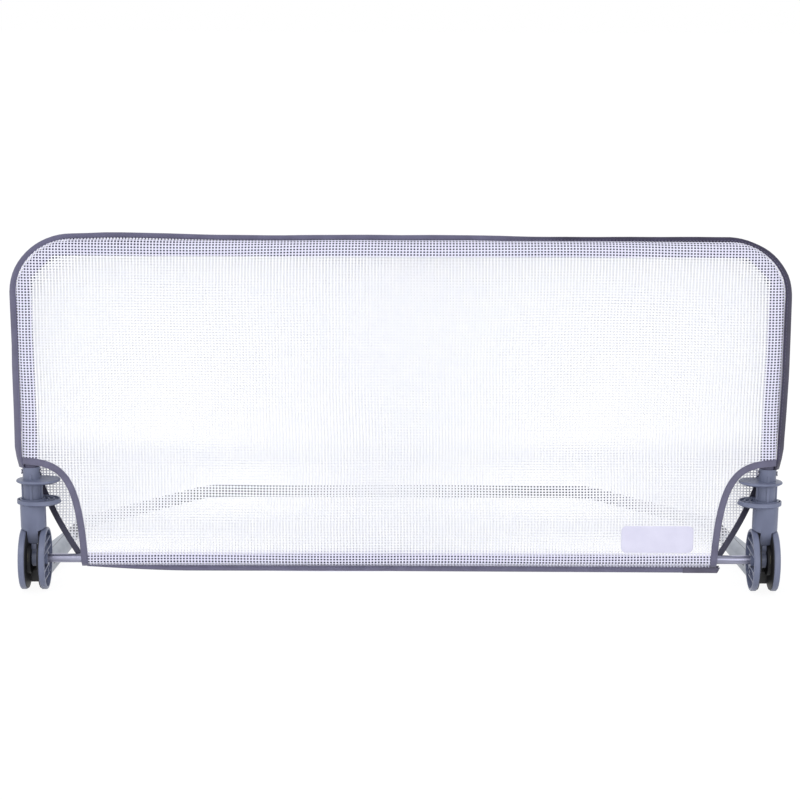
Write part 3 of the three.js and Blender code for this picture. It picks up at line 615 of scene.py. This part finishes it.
trims = [seam, seam_thread]
back_trims = []
for side, word in SIDES:
    front_line = cut_line(-1, FRONT_CUT, side, TAPE_LIFT)
    front = tape(f"cover_front_binding_{word}", front_line, FRONT_TAPE_HALF)
    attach(front, "rail")
    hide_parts(f"front_binding_{word}")
    front_stitch_line = cut_line(-1, FRONT_CUT, side, STITCH_LIFT, FRONT_STITCH_INSET)
    front_thread = stitches(f"cover_front_stitches_{word}", [front_stitch_line])
    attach(front_thread, "rail")
    back_line = cut_line(1, BACK_CUT, side, TAPE_LIFT)
    back = tape(f"cover_back_binding_{word}", back_line, BACK_TAPE_HALF)
    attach(back, "rail")
    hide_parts(f"back_binding_{word}")
    back_stitch_line = cut_line(1, BACK_CUT, side, STITCH_LIFT, BACK_STITCH_INSET)
    back_thread = stitches(f"cover_back_stitches_{word}", [back_stitch_line])
    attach(back_thread, "rail")
    trims += [front, front_thread]
    back_trims += [back, back_thread]


# Hem binding, and the tab over its right end
HEM_TOP = 29.1
HEM_LEFT = -367.0
HEM_RIGHT = 374.0
HEM_STEPS = 124
HEM_HALF_WIDTH = 4.1
HEM_ROUND = 2.6
HEM_ROUND_SHARE = 0.7
HEM_WALL = 1.0
HEM_LIP = 0.9
HEM_FLOOR = 0.6
HEM_ROUND_LOSS = 0.5
HEM_ROUND_STEPS = 8
TAB_LEFT = 334.0
TAB_SLANT = 3.6
TAB_PROUD = 0.35
TAB_STEPS = 12
TAB_COVER = 2.0


def channel(name, left, right, steps, proud, slant):
    """A tape folded up round the lower edges of both panels, its right end slanted."""
    shape = Shape()
    rings = []
    for i in range(steps + 1):
        x = left + (right - left) * i / steps
        low = hem_bottom(min(x, right - slant)) - proud
        high = HEM_TOP - hem_sag(x) + proud / 2
        wide = HEM_HALF_WIDTH + proud
        deep = min(HEM_ROUND, (high - low) * HEM_ROUND_SHARE)
        outer = [(-wide, high)]
        inner = []
        for j in range(HEM_ROUND_STEPS + 1):
            angle = math.pi * (1 + j / HEM_ROUND_STEPS)
            turn = math.sin(angle)
            outer.append((wide * math.cos(angle), low + deep + deep * turn))
            rise = low + deep + HEM_FLOOR + (deep - HEM_ROUND_LOSS) * turn
            inner.append(((wide - HEM_WALL) * math.cos(angle), rise))
        lips = [(wide, high), (wide - HEM_LIP, high)]
        outline = outer + lips + inner[::-1] + [(HEM_LIP - wide, high)]
        lean = slant * i / steps
        rings.append([at(x + lean * (z - low) / (high - low), y, z) for y, z in outline])
    shape.strip(rings)
    return new_piece(name, shape.points, shape.faces)


hem = channel("cover_bottom_binding", HEM_LEFT, HEM_RIGHT - TAB_COVER, HEM_STEPS, 0.0, 0.0)
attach(hem, "rail")
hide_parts("bottom_binding")
tab = channel("cover_bottom_tab", TAB_LEFT, HEM_RIGHT, TAB_STEPS, TAB_PROUD, TAB_SLANT)
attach(tab, "rail")

HEM_STITCH_Y = 4.15
HEM_STITCH_Z = 27.4
HEM_STITCH_LEFT = -276.0
HEM_STITCH_STEP = 6.0
HEM_STITCH_POINTS = 100


def hem_stitch_line(face):
    """A line of (point, normal) along the hem, on its front or back."""
    places = []
    for i in range(HEM_STITCH_POINTS):
        x = HEM_STITCH_LEFT + HEM_STITCH_STEP * i
        place = at(x, face * HEM_STITCH_Y, HEM_STITCH_Z - hem_sag(x))
        places.append((place, Vector((0, face, 0))))
    return places


hem_lines = [hem_stitch_line(face) for face in (-1, 1)]
hem_thread = stitches("cover_bottom_stitches", hem_lines)
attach(hem_thread, "rail")
trims += [hem, tab, hem_thread]


# Small pieces in the hub slots: the front rib of each post's web, and the clip on each drum.
# Their reaches in Y and their heights are counted from the axle.
BAR_CORNER = 0.35
RIB_HALF = 2.9
RIB_REACH = (-6.0, -3.2)
RIB_LOW = 12.0
RIB_TOP_GAP = 0.4
CLIP_HALF = 0.4
CLIP_REACH = (-19.0, -18.3)
CLIP_HIGH = 10.0
CLIP_ASIDE = 6.1


def bar(name, half, y_range, z_range, middle_x, body):
    """An upright bar with round corners, given by its half width, its reach in Y and in Z."""
    shape = Shape()
    rings = []
    (y0, y1), (z0, z1) = y_range, z_range
    corner = min(half, (y1 - y0) / 2) * BAR_CORNER
    for z, inset in ((z0, corner), (z0 + corner, 0.0), (z1 - corner, 0.0), (z1, corner)):
        radius = corner - inset * 0.5
        ring = []
        for sx, sy in ((1, 1), (-1, 1), (-1, -1), (1, -1)):
            start = math.atan2(sy, sx) - math.pi / 4
            for j in range(4):
                angle = start + math.pi / 2 * j / 3
                x = sx * (half - corner) + radius * math.cos(angle)
                y = (y0 + y1) / 2 + sy * ((y1 - y0) / 2 - corner) + radius * math.sin(angle)
                ring.append(at(middle_x + x, y, z))
        rings.append(ring)
    shape.strip(rings)
    piece = new_piece(name, shape.points, shape.faces)
    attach(piece, body)
    return piece


SPRING_RADIUS = 11.4
SPRING_WIRE = 0.7
SPRING_TURNS = 4.5
SPRING_STEPS = 24


def coil(side, word):
    """The lock spring, a coil of wire. On the real rail it shortens as the sleeve is lifted."""
    low, high = (corner[2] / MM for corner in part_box(f"lock_spring_{word}"))
    low, high = low + SPRING_WIRE, high - SPRING_WIRE
    count = int(SPRING_TURNS * SPRING_STEPS)
    lean = Vector((side * math.sin(LEAN), 0, math.cos(LEAN)))
    across = Vector((lean.z, 0, -lean.x))
    angles = [k * math.pi / 4 for k in range(8)]
    section = [(SPRING_WIRE * math.cos(a), SPRING_WIRE * math.sin(a)) for a in angles]
    shape = Shape()
    rings = []
    for i in range(count + 1):
        angle = 2 * math.pi * i / SPRING_STEPS
        z = low + (high - low) * i / count
        outward = across * math.cos(angle) + Vector((0, math.sin(angle), 0))
        centre = at(side * leg_x(z), 0, z) + outward * (SPRING_RADIUS * MM)
        rings.append(section_ring(centre, outward, lean, section))
    shape.strip(rings)
    piece = new_piece(f"lock_coil_{word}", shape.points, shape.faces)
    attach(piece, "rail")
    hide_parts(f"lock_spring_{word}")
    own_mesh(piece)
    return piece


ribs = []
clips = []
coils = []
for side, word in SIDES:
    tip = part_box(f"lock_sleeve_{word}")[0][2] / MM
    rib_z = (HUB_Z + RIB_LOW, tip - RIB_TOP_GAP)
    clip_z = (HUB_Z, HUB_Z + CLIP_HIGH)
    rib_x = side * leg_x(rib_z[0])
    clip_x = side * (HUB_X + CLIP_ASIDE)
    rib_name, clip_name = f"post_front_rib_{word}", f"drum_clip_{word}"
    ribs.append(bar(rib_name, RIB_HALF, RIB_REACH, rib_z, rib_x, "rail"))
    clips.append(bar(clip_name, CLIP_HALF, CLIP_REACH, clip_z, clip_x, "base"))
    coils.append(coil(side, word))


# Label
LABEL_LOW = 47.2
LABEL_HIGH = 79.3
LABEL_LEFT = 260.0
LABEL_RIGHT = 344.5
LABEL_CORNER = 6.0
LABEL_RINGS = ((0.002, 0.75), (0.9, 0.75), (0.975, 0.72), (1.0, 0.55), (1.0, 0.35), (0.97, 0.35))


def label_piece():
    """The blank label patch, a thin cloth with round corners that lies on the front panel."""
    left, right = LABEL_LEFT + LABEL_CORNER, LABEL_RIGHT - LABEL_CORNER
    low, high = LABEL_LOW + LABEL_CORNER, LABEL_HIGH - LABEL_CORNER
    outline = []
    for quarter, (cx, cz) in enumerate(((right, high), (left, high), (left, low), (right, low))):
        for i in range(7):
            angle = math.pi / 2 * (quarter + i / 6)
            x, z = cx + LABEL_CORNER * math.cos(angle), cz + LABEL_CORNER * math.sin(angle)
            outline.append((x, z))
    middle_x, middle_z = (LABEL_LEFT + LABEL_RIGHT) / 2, (LABEL_LOW + LABEL_HIGH) / 2
    shape = Shape()
    rings = []
    for share, lift in LABEL_RINGS:
        ring = []
        for corner_x, corner_z in outline:
            x = middle_x + (corner_x - middle_x) * share
            z = middle_z + (corner_z - middle_z) * share
            ring.append(skin(-1, x, z, lift)[0])
        rings.append(ring)
    shape.strip(rings)
    return new_piece("cover_label_patch", shape.points, shape.faces)


label = label_piece()
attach(label, "rail")
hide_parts("label_patch")
trims.append(label)


# Materials
WAVE_TURN = 20.0
RAMP_REACH = (0.3, 0.7)


def linear(r, g, b):
    """A colour for Blender, from sRGB tones out of 255."""

    def one(v):
        v /= 255.0
        return v / 12.92 if v <= 0.04045 else ((v + 0.055) / 1.055) ** 2.4

    return (one(r), one(g), one(b), 1.0)


class Look:
    """A material with short ways to add nodes to it. Its lengths are in metres."""

    def __init__(self, name):
        self.made = bpy.data.materials.new(name)
        self.made.use_nodes = True
        self.nodes = self.made.node_tree.nodes
        self.links = self.made.node_tree.links
        self.shader = self.nodes["Principled BSDF"]

    def put(self, value, socket):
        """Links an output to a socket, or sets it to a value."""
        if isinstance(value, bpy.types.NodeSocket):
            self.links.new(value, socket)
        else:
            socket.default_value = value

    def operate(self, kind, operation, values, result="Value"):
        step = self.nodes.new(kind)
        step.operation = operation
        for value, socket in zip(values, step.inputs):
            self.put(value, socket)
        return step.outputs[result]

    def math(self, operation, *values):
        return self.operate("ShaderNodeMath", operation, values)

    def place(self):
        """The part's own coordinates."""
        return self.nodes.new("ShaderNodeTexCoord").outputs["Object"]

    def split_place(self):
        split = self.nodes.new("ShaderNodeSeparateXYZ")
        self.links.new(self.place(), split.inputs["Vector"])
        return split.outputs

    def spread(self, value, reach=(0.0, 1.0), result=(0.0, 1.0)):
        """Spreads the part of a value that lies within reach over the result."""
        node = self.nodes.new("ShaderNodeMapRange")
        for limit, number in zip(("From Min", "From Max", "To Min", "To Max"), reach + result):
            node.inputs[limit].default_value = number
        self.links.new(value, node.inputs["Value"])
        return node.outputs["Result"]

    def noise(self, scale, detail, stretch=(1, 1, 1)):
        """Noise over the part's own coordinates, in cycles per metre."""
        mapping = self.nodes.new("ShaderNodeMapping")
        mapping.inputs["Scale"].default_value = stretch
        self.links.new(self.place(), mapping.inputs["Vector"])
        noise = self.nodes.new("ShaderNodeTexNoise")
        noise.inputs["Scale"].default_value = scale
        noise.inputs["Detail"].default_value = detail
        self.links.new(mapping.outputs["Vector"], noise.inputs["Vector"])
        return noise.outputs["Fac"]

    def weave(self, ribs):
        """The product of two crossing waves, each of so many ribs per metre."""
        waves = []
        place = self.place()
        for direction in ("X", "Z"):
            wave = self.nodes.new("ShaderNodeTexWave")
            wave.wave_type = "BANDS"
            wave.bands_direction = direction
            wave.inputs["Scale"].default_value = 2 * math.pi * ribs / WAVE_TURN
            wave.inputs["Distortion"].default_value = 0.6
            wave.inputs["Detail"].default_value = 1.0
            self.links.new(place, wave.inputs["Vector"])
            waves.append(wave.outputs["Fac"])
        return self.math("MULTIPLY", *waves)

    def two_tone(self, value, tones):
        """A colour that runs from one tone to the other with a value."""
        ramp = self.nodes.new("ShaderNodeValToRGB")
        for element, position, tone in zip(ramp.color_ramp.elements, RAMP_REACH, tones):
            element.position = position
            element.color = linear(*tone)
        self.links.new(value, ramp.inputs["Fac"])
        return ramp.outputs["Color"]

    def colour(self):
        """What gives the shader its colour so far."""
        return self.shader.inputs["Base Color"].links[0].from_socket

    def set_colour(self, colour):
        self.links.new(colour, self.shader.inputs["Base Color"])

    def blend(self, share, start, end):
        """Gives the shader a mix of two colours, by a share that varies over the part."""
        mix = self.nodes.new("ShaderNodeMix")
        mix.data_type = "RGBA"
        self.links.new(share, mix.inputs["Factor"])
        self.put(start, mix.inputs[6])
        self.put(end, mix.inputs[7])
        self.set_colour(mix.outputs[2])

    def vary_roughness(self, value, rough):
        self.links.new(self.spread(value, result=rough), self.shader.inputs["Roughness"])

    def bump(self, height, distance, strength):
        bump = self.nodes.new("ShaderNodeBump")
        bump.inputs["Distance"].default_value = distance
        bump.inputs["Strength"].default_value = strength
        self.links.new(height, bump.inputs["Height"])
        self.links.new(bump.outputs["Normal"], self.shader.inputs["Normal"])


def plastic(name, tones, rough=(0.32, 0.46)):
    """Moulded plastic with a fine grain and faint cloudiness."""
    look = Look(name)
    look.set_colour(look.two_tone(look.noise(38.0, 2.0), tones))
    grain = look.noise(2600.0, 2.0)
    look.vary_roughness(grain, rough)
    look.bump(grain, 0.00008, 0.5)
    look.shader.inputs["Specular IOR Level"].default_value = 0.45
    return look


def metal(name, tones, metallic, rough=(0.2, 0.34), stretch=(1, 40, 40)):
    """Drawn metal with fine lines along X."""
    look = Look(name)
    lines = look.noise(30.0, 3.0, stretch)
    look.set_colour(look.two_tone(lines, tones))
    look.vary_roughness(lines, rough)
    look.bump(lines, 0.00004, 0.3)
    look.shader.inputs["Metallic"].default_value = metallic
    return look


def cloth(name, tones, ribs, rough, sheen, bump):
    """Tape, cloth or thread with a woven surface of crossing ribs, so many per metre."""
    look = Look(name)
    cloud = look.noise(60.0, 4.0)
    look.set_colour(look.two_tone(cloud, tones))
    look.vary_roughness(cloud, rough)
    look.bump(look.weave(ribs), 0.0002, bump)
    look.shader.inputs["Sheen Weight"].default_value = sheen
    return look


TAPE_RIBS = 550.0
TAPE_ROUGH = (0.8, 0.92)
TAPE_BUMP = 0.6


def shaded_tape(name, tones, painted_shade_tones, axis, reach, sheen):
    """A tape with a painted shade, its tones running to the shade tones along the axis over the
    reach.
    """
    look = cloth(name, tones, TAPE_RIBS, TAPE_ROUGH, sheen, TAPE_BUMP)
    dark = look.two_tone(look.noise(60.0, 4.0), painted_shade_tones)
    look.blend(look.spread(look.split_place()[axis], reach), look.colour(), dark)
    return look


# Edges past which the net has a painted shade, where a tube lies behind it: the frame tube's on the
# legs and elsewhere, counted from its middle line, and the cross tube's, counted from the floor.
# Each painted shade starts over twice the blur.
LEG_EDGE = 9.9
TUBE_EDGE = 7.6
CROSS_TUBE_EDGE = 46.0
SHADE_BLUR = 1.5


def net_thread(name, tones, tube_shade_tone):
    """The net's thread, with a painted shade where the frame tube and the cross tube lie behind it.
    """
    look = cloth(name, tones, 700.0, (0.66, 0.78), 0.3, 0.05)
    away = look.operate("ShaderNodeVectorMath", "ABSOLUTE", [look.place()], "Vector")
    diagonal = math.sqrt(0.5)
    bend = diagonal * (CORNER.x + CORNER.y) + CORNER_R
    most = None
    for weights, edge in (
        ((1.0, 0.0, -math.tan(LEAN)), leg_x(0.0) - LEG_EDGE),
        ((0.0, 0.0, 1.0), TOP_Z - TUBE_EDGE),
        ((diagonal, 0.0, diagonal), bend - TUBE_EDGE),
        ((0.0, 0.0, -1.0), -CROSS_TUBE_EDGE),
    ):
        past = look.operate("ShaderNodeVectorMath", "DOT_PRODUCT", [away, weights])
        shade_share = look.spread(past, ((edge - SHADE_BLUR) * MM, (edge + SHADE_BLUR) * MM))
        most = shade_share if most is None else look.math("MAXIMUM", most, shade_share)
    # Blends in the painted shade tone wherever a tube lies behind the net.
    look.blend(most, look.colour(), linear(*tube_shade_tone))
    return look


# Where the painted shade inside the cover ends, as distance from the middle in metres.
SLEEVE_END = (0.362, 0.368)


def sleeved_metal(name, tones, cover_shade, metallic):
    """Metal with wide light and dark bands along X, painted reflections, and a painted shade in the
    middle, where the cover is round it.
    """
    # The coarse stretch makes wide light and dark bands, which are painted reflection streaks.
    look = metal(name, tones, metallic, (0.22, 0.34), (0.6, 8, 8))
    away = look.math("ABSOLUTE", look.split_place()["X"])
    look.blend(look.spread(away, SLEEVE_END), linear(*cover_shade), look.colour())
    return look


PARTING_HALF = 0.45


def parted_plastic(name, tones, line):
    """Moulded plastic with the thin dark line in which the halves of each arm socket meet."""
    look = plastic(name, tones, (0.36, 0.5))
    x, y, _ = look.split_place()
    aside = look.math("MULTIPLY_ADD", y, ARM_SLANT, -AXLE_Y * MM * ARM_SLANT)
    away = look.math("SUBTRACT", look.math("ADD", look.math("ABSOLUTE", x), aside), HUB_X * MM)
    near = look.math("LESS_THAN", look.math("ABSOLUTE", away), PARTING_HALF * MM)
    look.blend(near, look.colour(), linear(*line))
    return look


TUBE_ROUGH = (0.34, 0.46)

slate = plastic("slate_plastic", ((105, 111, 134), (117, 123, 147)))
black = plastic("black_plastic", ((30, 30, 33), (38, 38, 41)), (0.45, 0.6))
grey = parted_plastic("grey_plastic", ((150, 156, 165), (166, 171, 180)), (84, 86, 96))
steel = metal("steel", ((150, 150, 158), (196, 196, 206)), 0.9)
dull_steel = metal("dull_steel", ((74, 72, 64), (112, 108, 98)), 0.8)
# The frame tubes' tones are their paint, darkened further as painted shade for the cover round
# them.
frame_paint_and_shade = plastic("painted_tube", ((66, 64, 86), (77, 75, 99)), TUBE_ROUGH)
base_paint_and_shade = plastic("base_paint_and_shade", ((40, 39, 54), (50, 49, 66)), TUBE_ROUGH)
# Its first tones give painted reflection bands, and the last is the painted shade inside the cover.
tube_steel = sleeved_metal("tube_steel", ((92, 92, 110), (172, 173, 194)), (74, 72, 94), 0.85)
# The last tone is the painted shade on the threads over the tubes.
net_white = net_thread("mesh_thread", ((250, 251, 255), (254, 254, 255)), (235, 234, 251))
tape_slate = cloth(
    "slate_tape", ((100, 98, 120), (112, 110, 133)), TAPE_RIBS, TAPE_ROUGH, 0.25, TAPE_BUMP
)
tape_tab = cloth(
    "tab_tape", ((88, 85, 102), (99, 96, 114)), TAPE_RIBS, TAPE_ROUGH, 0.25, TAPE_BUMP
)
# Painted shade: the back bindings are the front bindings' tape with darker tones, and darker still
# towards the top.
tape_painted_shade = shaded_tape(
    "dark_tape", ((78, 77, 93), (90, 89, 106)), ((46, 44, 60), (57, 55, 72)),
    "Z", (0.036, 0.086), 0.2,
)
# The seam tape darkens to the right of X 0.1 to 0.19 m, a painted shade on its right side.
tape_seam = shaded_tape(
    "seam_tape", ((94, 92, 116), (106, 104, 129)), ((52, 48, 68), (64, 60, 83)),
    "X", (0.1, 0.19), 0.25,
)
stitch_slate = cloth(
    "stitch_thread", ((90, 88, 110), (104, 102, 126)), 1200.0, (0.74, 0.86), 0.2, 0.3
)
label_cloth = cloth(
    "label_cloth", ((220, 218, 237), (227, 225, 243)), 900.0, (0.54, 0.66), 0.1, 0.25
)


def paint(pieces, look):
    for piece in pieces:
        piece.data.materials.clear()
        piece.data.materials.append(look.made)


paint([front_net, back_net], net_white)
paint(trims, tape_slate)
paint(back_trims, tape_painted_shade)
paint([piece for piece in trims + back_trims if "stitches" in piece.name], stitch_slate)
paint([label], label_cloth)
paint([seam], tape_seam)
paint([tab], tape_tab)
paint(ribs, slate)
paint(clips, dull_steel)
paint(coils, steel)


# Round edges and smooth curves on the moulded and metal pieces
EDGE_ANGLE = math.radians(38)
FLAT_ANGLE = math.radians(0.6)
WELD_REACH = 1e-6


def smooth_nodes(limit):
    """Geometry nodes that shade faces smooth across edges under the limit."""
    tree = bpy.data.node_groups.new("smooth_by_angle", "GeometryNodeTree")
    tree.is_modifier = True
    tree.interface.new_socket("Geometry", in_out="INPUT", socket_type="NodeSocketGeometry")
    tree.interface.new_socket("Geometry", in_out="OUTPUT", socket_type="NodeSocketGeometry")
    start = tree.nodes.new("NodeGroupInput")
    end = tree.nodes.new("NodeGroupOutput")
    angle = tree.nodes.new("GeometryNodeInputMeshEdgeAngle")
    sharp = tree.nodes.new("FunctionNodeCompare")
    sharp.operation = "GREATER_THAN"
    sharp.inputs[1].default_value = limit
    faces = tree.nodes.new("GeometryNodeSetShadeSmooth")
    faces.domain = "FACE"
    edges = tree.nodes.new("GeometryNodeSetShadeSmooth")
    edges.domain = "EDGE"
    edges.inputs["Shade Smooth"].default_value = False
    tree.links.new(start.outputs[0], faces.inputs["Geometry"])
    tree.links.new(angle.outputs["Unsigned Angle"], sharp.inputs[0])
    tree.links.new(sharp.outputs["Result"], edges.inputs["Selection"])
    tree.links.new(faces.outputs["Geometry"], edges.inputs["Geometry"])
    tree.links.new(edges.outputs["Geometry"], end.inputs[0])
    return tree


smooth_tree = smooth_nodes(EDGE_ANGLE)


def soften(node, radius):
    """Joins a CAD node's facets into faces, rounds its edges by a radius and shades it smooth."""
    weld = node.modifiers.new("weld", "WELD")
    weld.merge_threshold = WELD_REACH
    flat = node.modifiers.new("flat", "DECIMATE")
    flat.decimate_type = "DISSOLVE"
    flat.angle_limit = FLAT_ANGLE
    if radius:
        edge = node.modifiers.new("edge", "BEVEL")
        edge.width = radius * MM
        edge.segments = 3
        edge.limit_method = "ANGLE"
        edge.angle_limit = EDGE_ANGLE
    smooth = node.modifiers.new("smooth", "NODES")
    smooth.node_group = smooth_tree
    weighted = node.modifiers.new("weighted", "WEIGHTED_NORMAL")
    weighted.keep_sharp = True


# Look and edge radius in millimetres of the CAD nodes, by the start of their names. The nodes left
# out are the cover's, which the pieces above replace.
NODE_LOOKS = {
    "hub_outer_cheek": (slate, 0.45),
    "hub_inner_cheek": (slate, 0.45),
    "hub_core": (black, 0.3),
    "hub_screw": (steel, 0.2),
    "arm_socket": (grey, 0.8),
    "socket_screw": (steel, 0.2),
    "axle_cap": (slate, 0.3),
    "cross_tube": (tube_steel, 0.0),
    "post": (slate, 0.4),
    "post_rivet": (steel, 0.3),
    "upper_collar": (slate, 0.45),
    "lock_sleeve": (slate, 0.45),
    "lock_spring": (steel, 0.0),
    "top_frame": (frame_paint_and_shade, 0.0),
    "base_frame": (base_paint_and_shade, 0.0),
}

for name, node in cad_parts.items():
    starts = [start for start in NODE_LOOKS if name.startswith(start)]
    look, radius = NODE_LOOKS[max(starts, key=len)] if starts else (slate, 0.0)
    for material_slot in node.material_slots:
        material_slot.material = look.made
    if starts:
        soften(node, radius)


# Floor, world and lamps. The floor and the world look white, whatever light they give the object.
FLOOR_CORNERS = ((-12, -8, 0), (12, -8, 0), (12, 16, 0), (-12, 16, 0))
FLOOR_DROP = 0.0004
FLOOR_TONE = (0.9, 0.9, 0.9, 1)
FLOOR_GLOW = 1.06
FLOOR_WHITE_SHARE = 0.88
WHITE = (1, 1, 1, 1)
WORLD_TONE = (0.945, 0.955, 1.0, 1)
WORLD_STRENGTH = 0.76


def whitened(nodes, links, base, white, share):
    """Mixes white by a share into what the camera, mirrors and glass see of a surface."""
    rays = nodes.new("ShaderNodeLightPath")
    seen = rays.outputs["Is Camera Ray"]
    for kind in ("Is Glossy Ray", "Is Transmission Ray"):
        most = nodes.new("ShaderNodeMath")
        most.operation = "MAXIMUM"
        links.new(seen, most.inputs[0])
        links.new(rays.outputs[kind], most.inputs[1])
        seen = most.outputs["Value"]
    part = nodes.new("ShaderNodeMath")
    part.operation = "MULTIPLY"
    part.inputs[1].default_value = share
    links.new(seen, part.inputs[0])
    mix = nodes.new("ShaderNodeMixShader")
    links.new(part.outputs["Value"], mix.inputs["Fac"])
    links.new(base, mix.inputs[1])
    links.new(white, mix.inputs[2])
    return mix.outputs["Shader"]


floor_mesh = bpy.data.meshes.new("floor")
floor_mesh.from_pydata(FLOOR_CORNERS, [], [(0, 1, 2, 3)])
floor = bpy.data.objects.new("floor", floor_mesh)
bpy.context.scene.collection.objects.link(floor)
floor.location.z = -FLOOR_DROP
floor_look = Look("floor")
floor_look.shader.inputs["Base Color"].default_value = FLOOR_TONE
floor_look.shader.inputs["Roughness"].default_value = 0.9
floor_look.shader.inputs["Specular IOR Level"].default_value = 0.1
glow = floor_look.nodes.new("ShaderNodeEmission")
glow.inputs["Strength"].default_value = FLOOR_GLOW
base, white = floor_look.shader.outputs["BSDF"], glow.outputs["Emission"]
surface = whitened(floor_look.nodes, floor_look.links, base, white, FLOOR_WHITE_SHARE)
floor_look.links.new(surface, floor_look.nodes["Material Output"].inputs["Surface"])
floor_mesh.materials.append(floor_look.made)

world = bpy.data.worlds.new("world")
bpy.context.scene.world = world
world.use_nodes = True
nodes, links = world.node_tree.nodes, world.node_tree.links
light = nodes["Background"]
light.inputs["Color"].default_value = WORLD_TONE
light.inputs["Strength"].default_value = WORLD_STRENGTH
backdrop = nodes.new("ShaderNodeBackground")
backdrop.inputs["Color"].default_value = WHITE
base, white = light.outputs["Background"], backdrop.outputs["Background"]
surface = whitened(nodes, links, base, white, 1.0)
links.new(surface, nodes["World Output"].inputs["Surface"])


def lamp(name, place, target, size, power):
    data = bpy.data.lights.new(name, "AREA")
    data.shape = "RECTANGLE"
    data.size, data.size_y = size
    data.energy = power
    made = bpy.data.objects.new(name, data)
    bpy.context.scene.collection.objects.link(made)
    made.location = place
    made.rotation_euler = (Vector(target) - Vector(place)).to_track_quat("-Z", "Y").to_euler()


lamp("key", (-1.6, -2.6, 2.4), (0, -0.2, 0.15), (2.4, 1.6), 25)
lamp("fill", (0.9, -3.1, 0.9), (0, -0.2, 0.15), (2.6, 1.2), 18)
lamp("back", (0.2, 2.4, 2.6), (0, 0, 0.2), (3.0, 1.2), 18)

bpy.context.scene.view_settings.view_transform = "Standard"
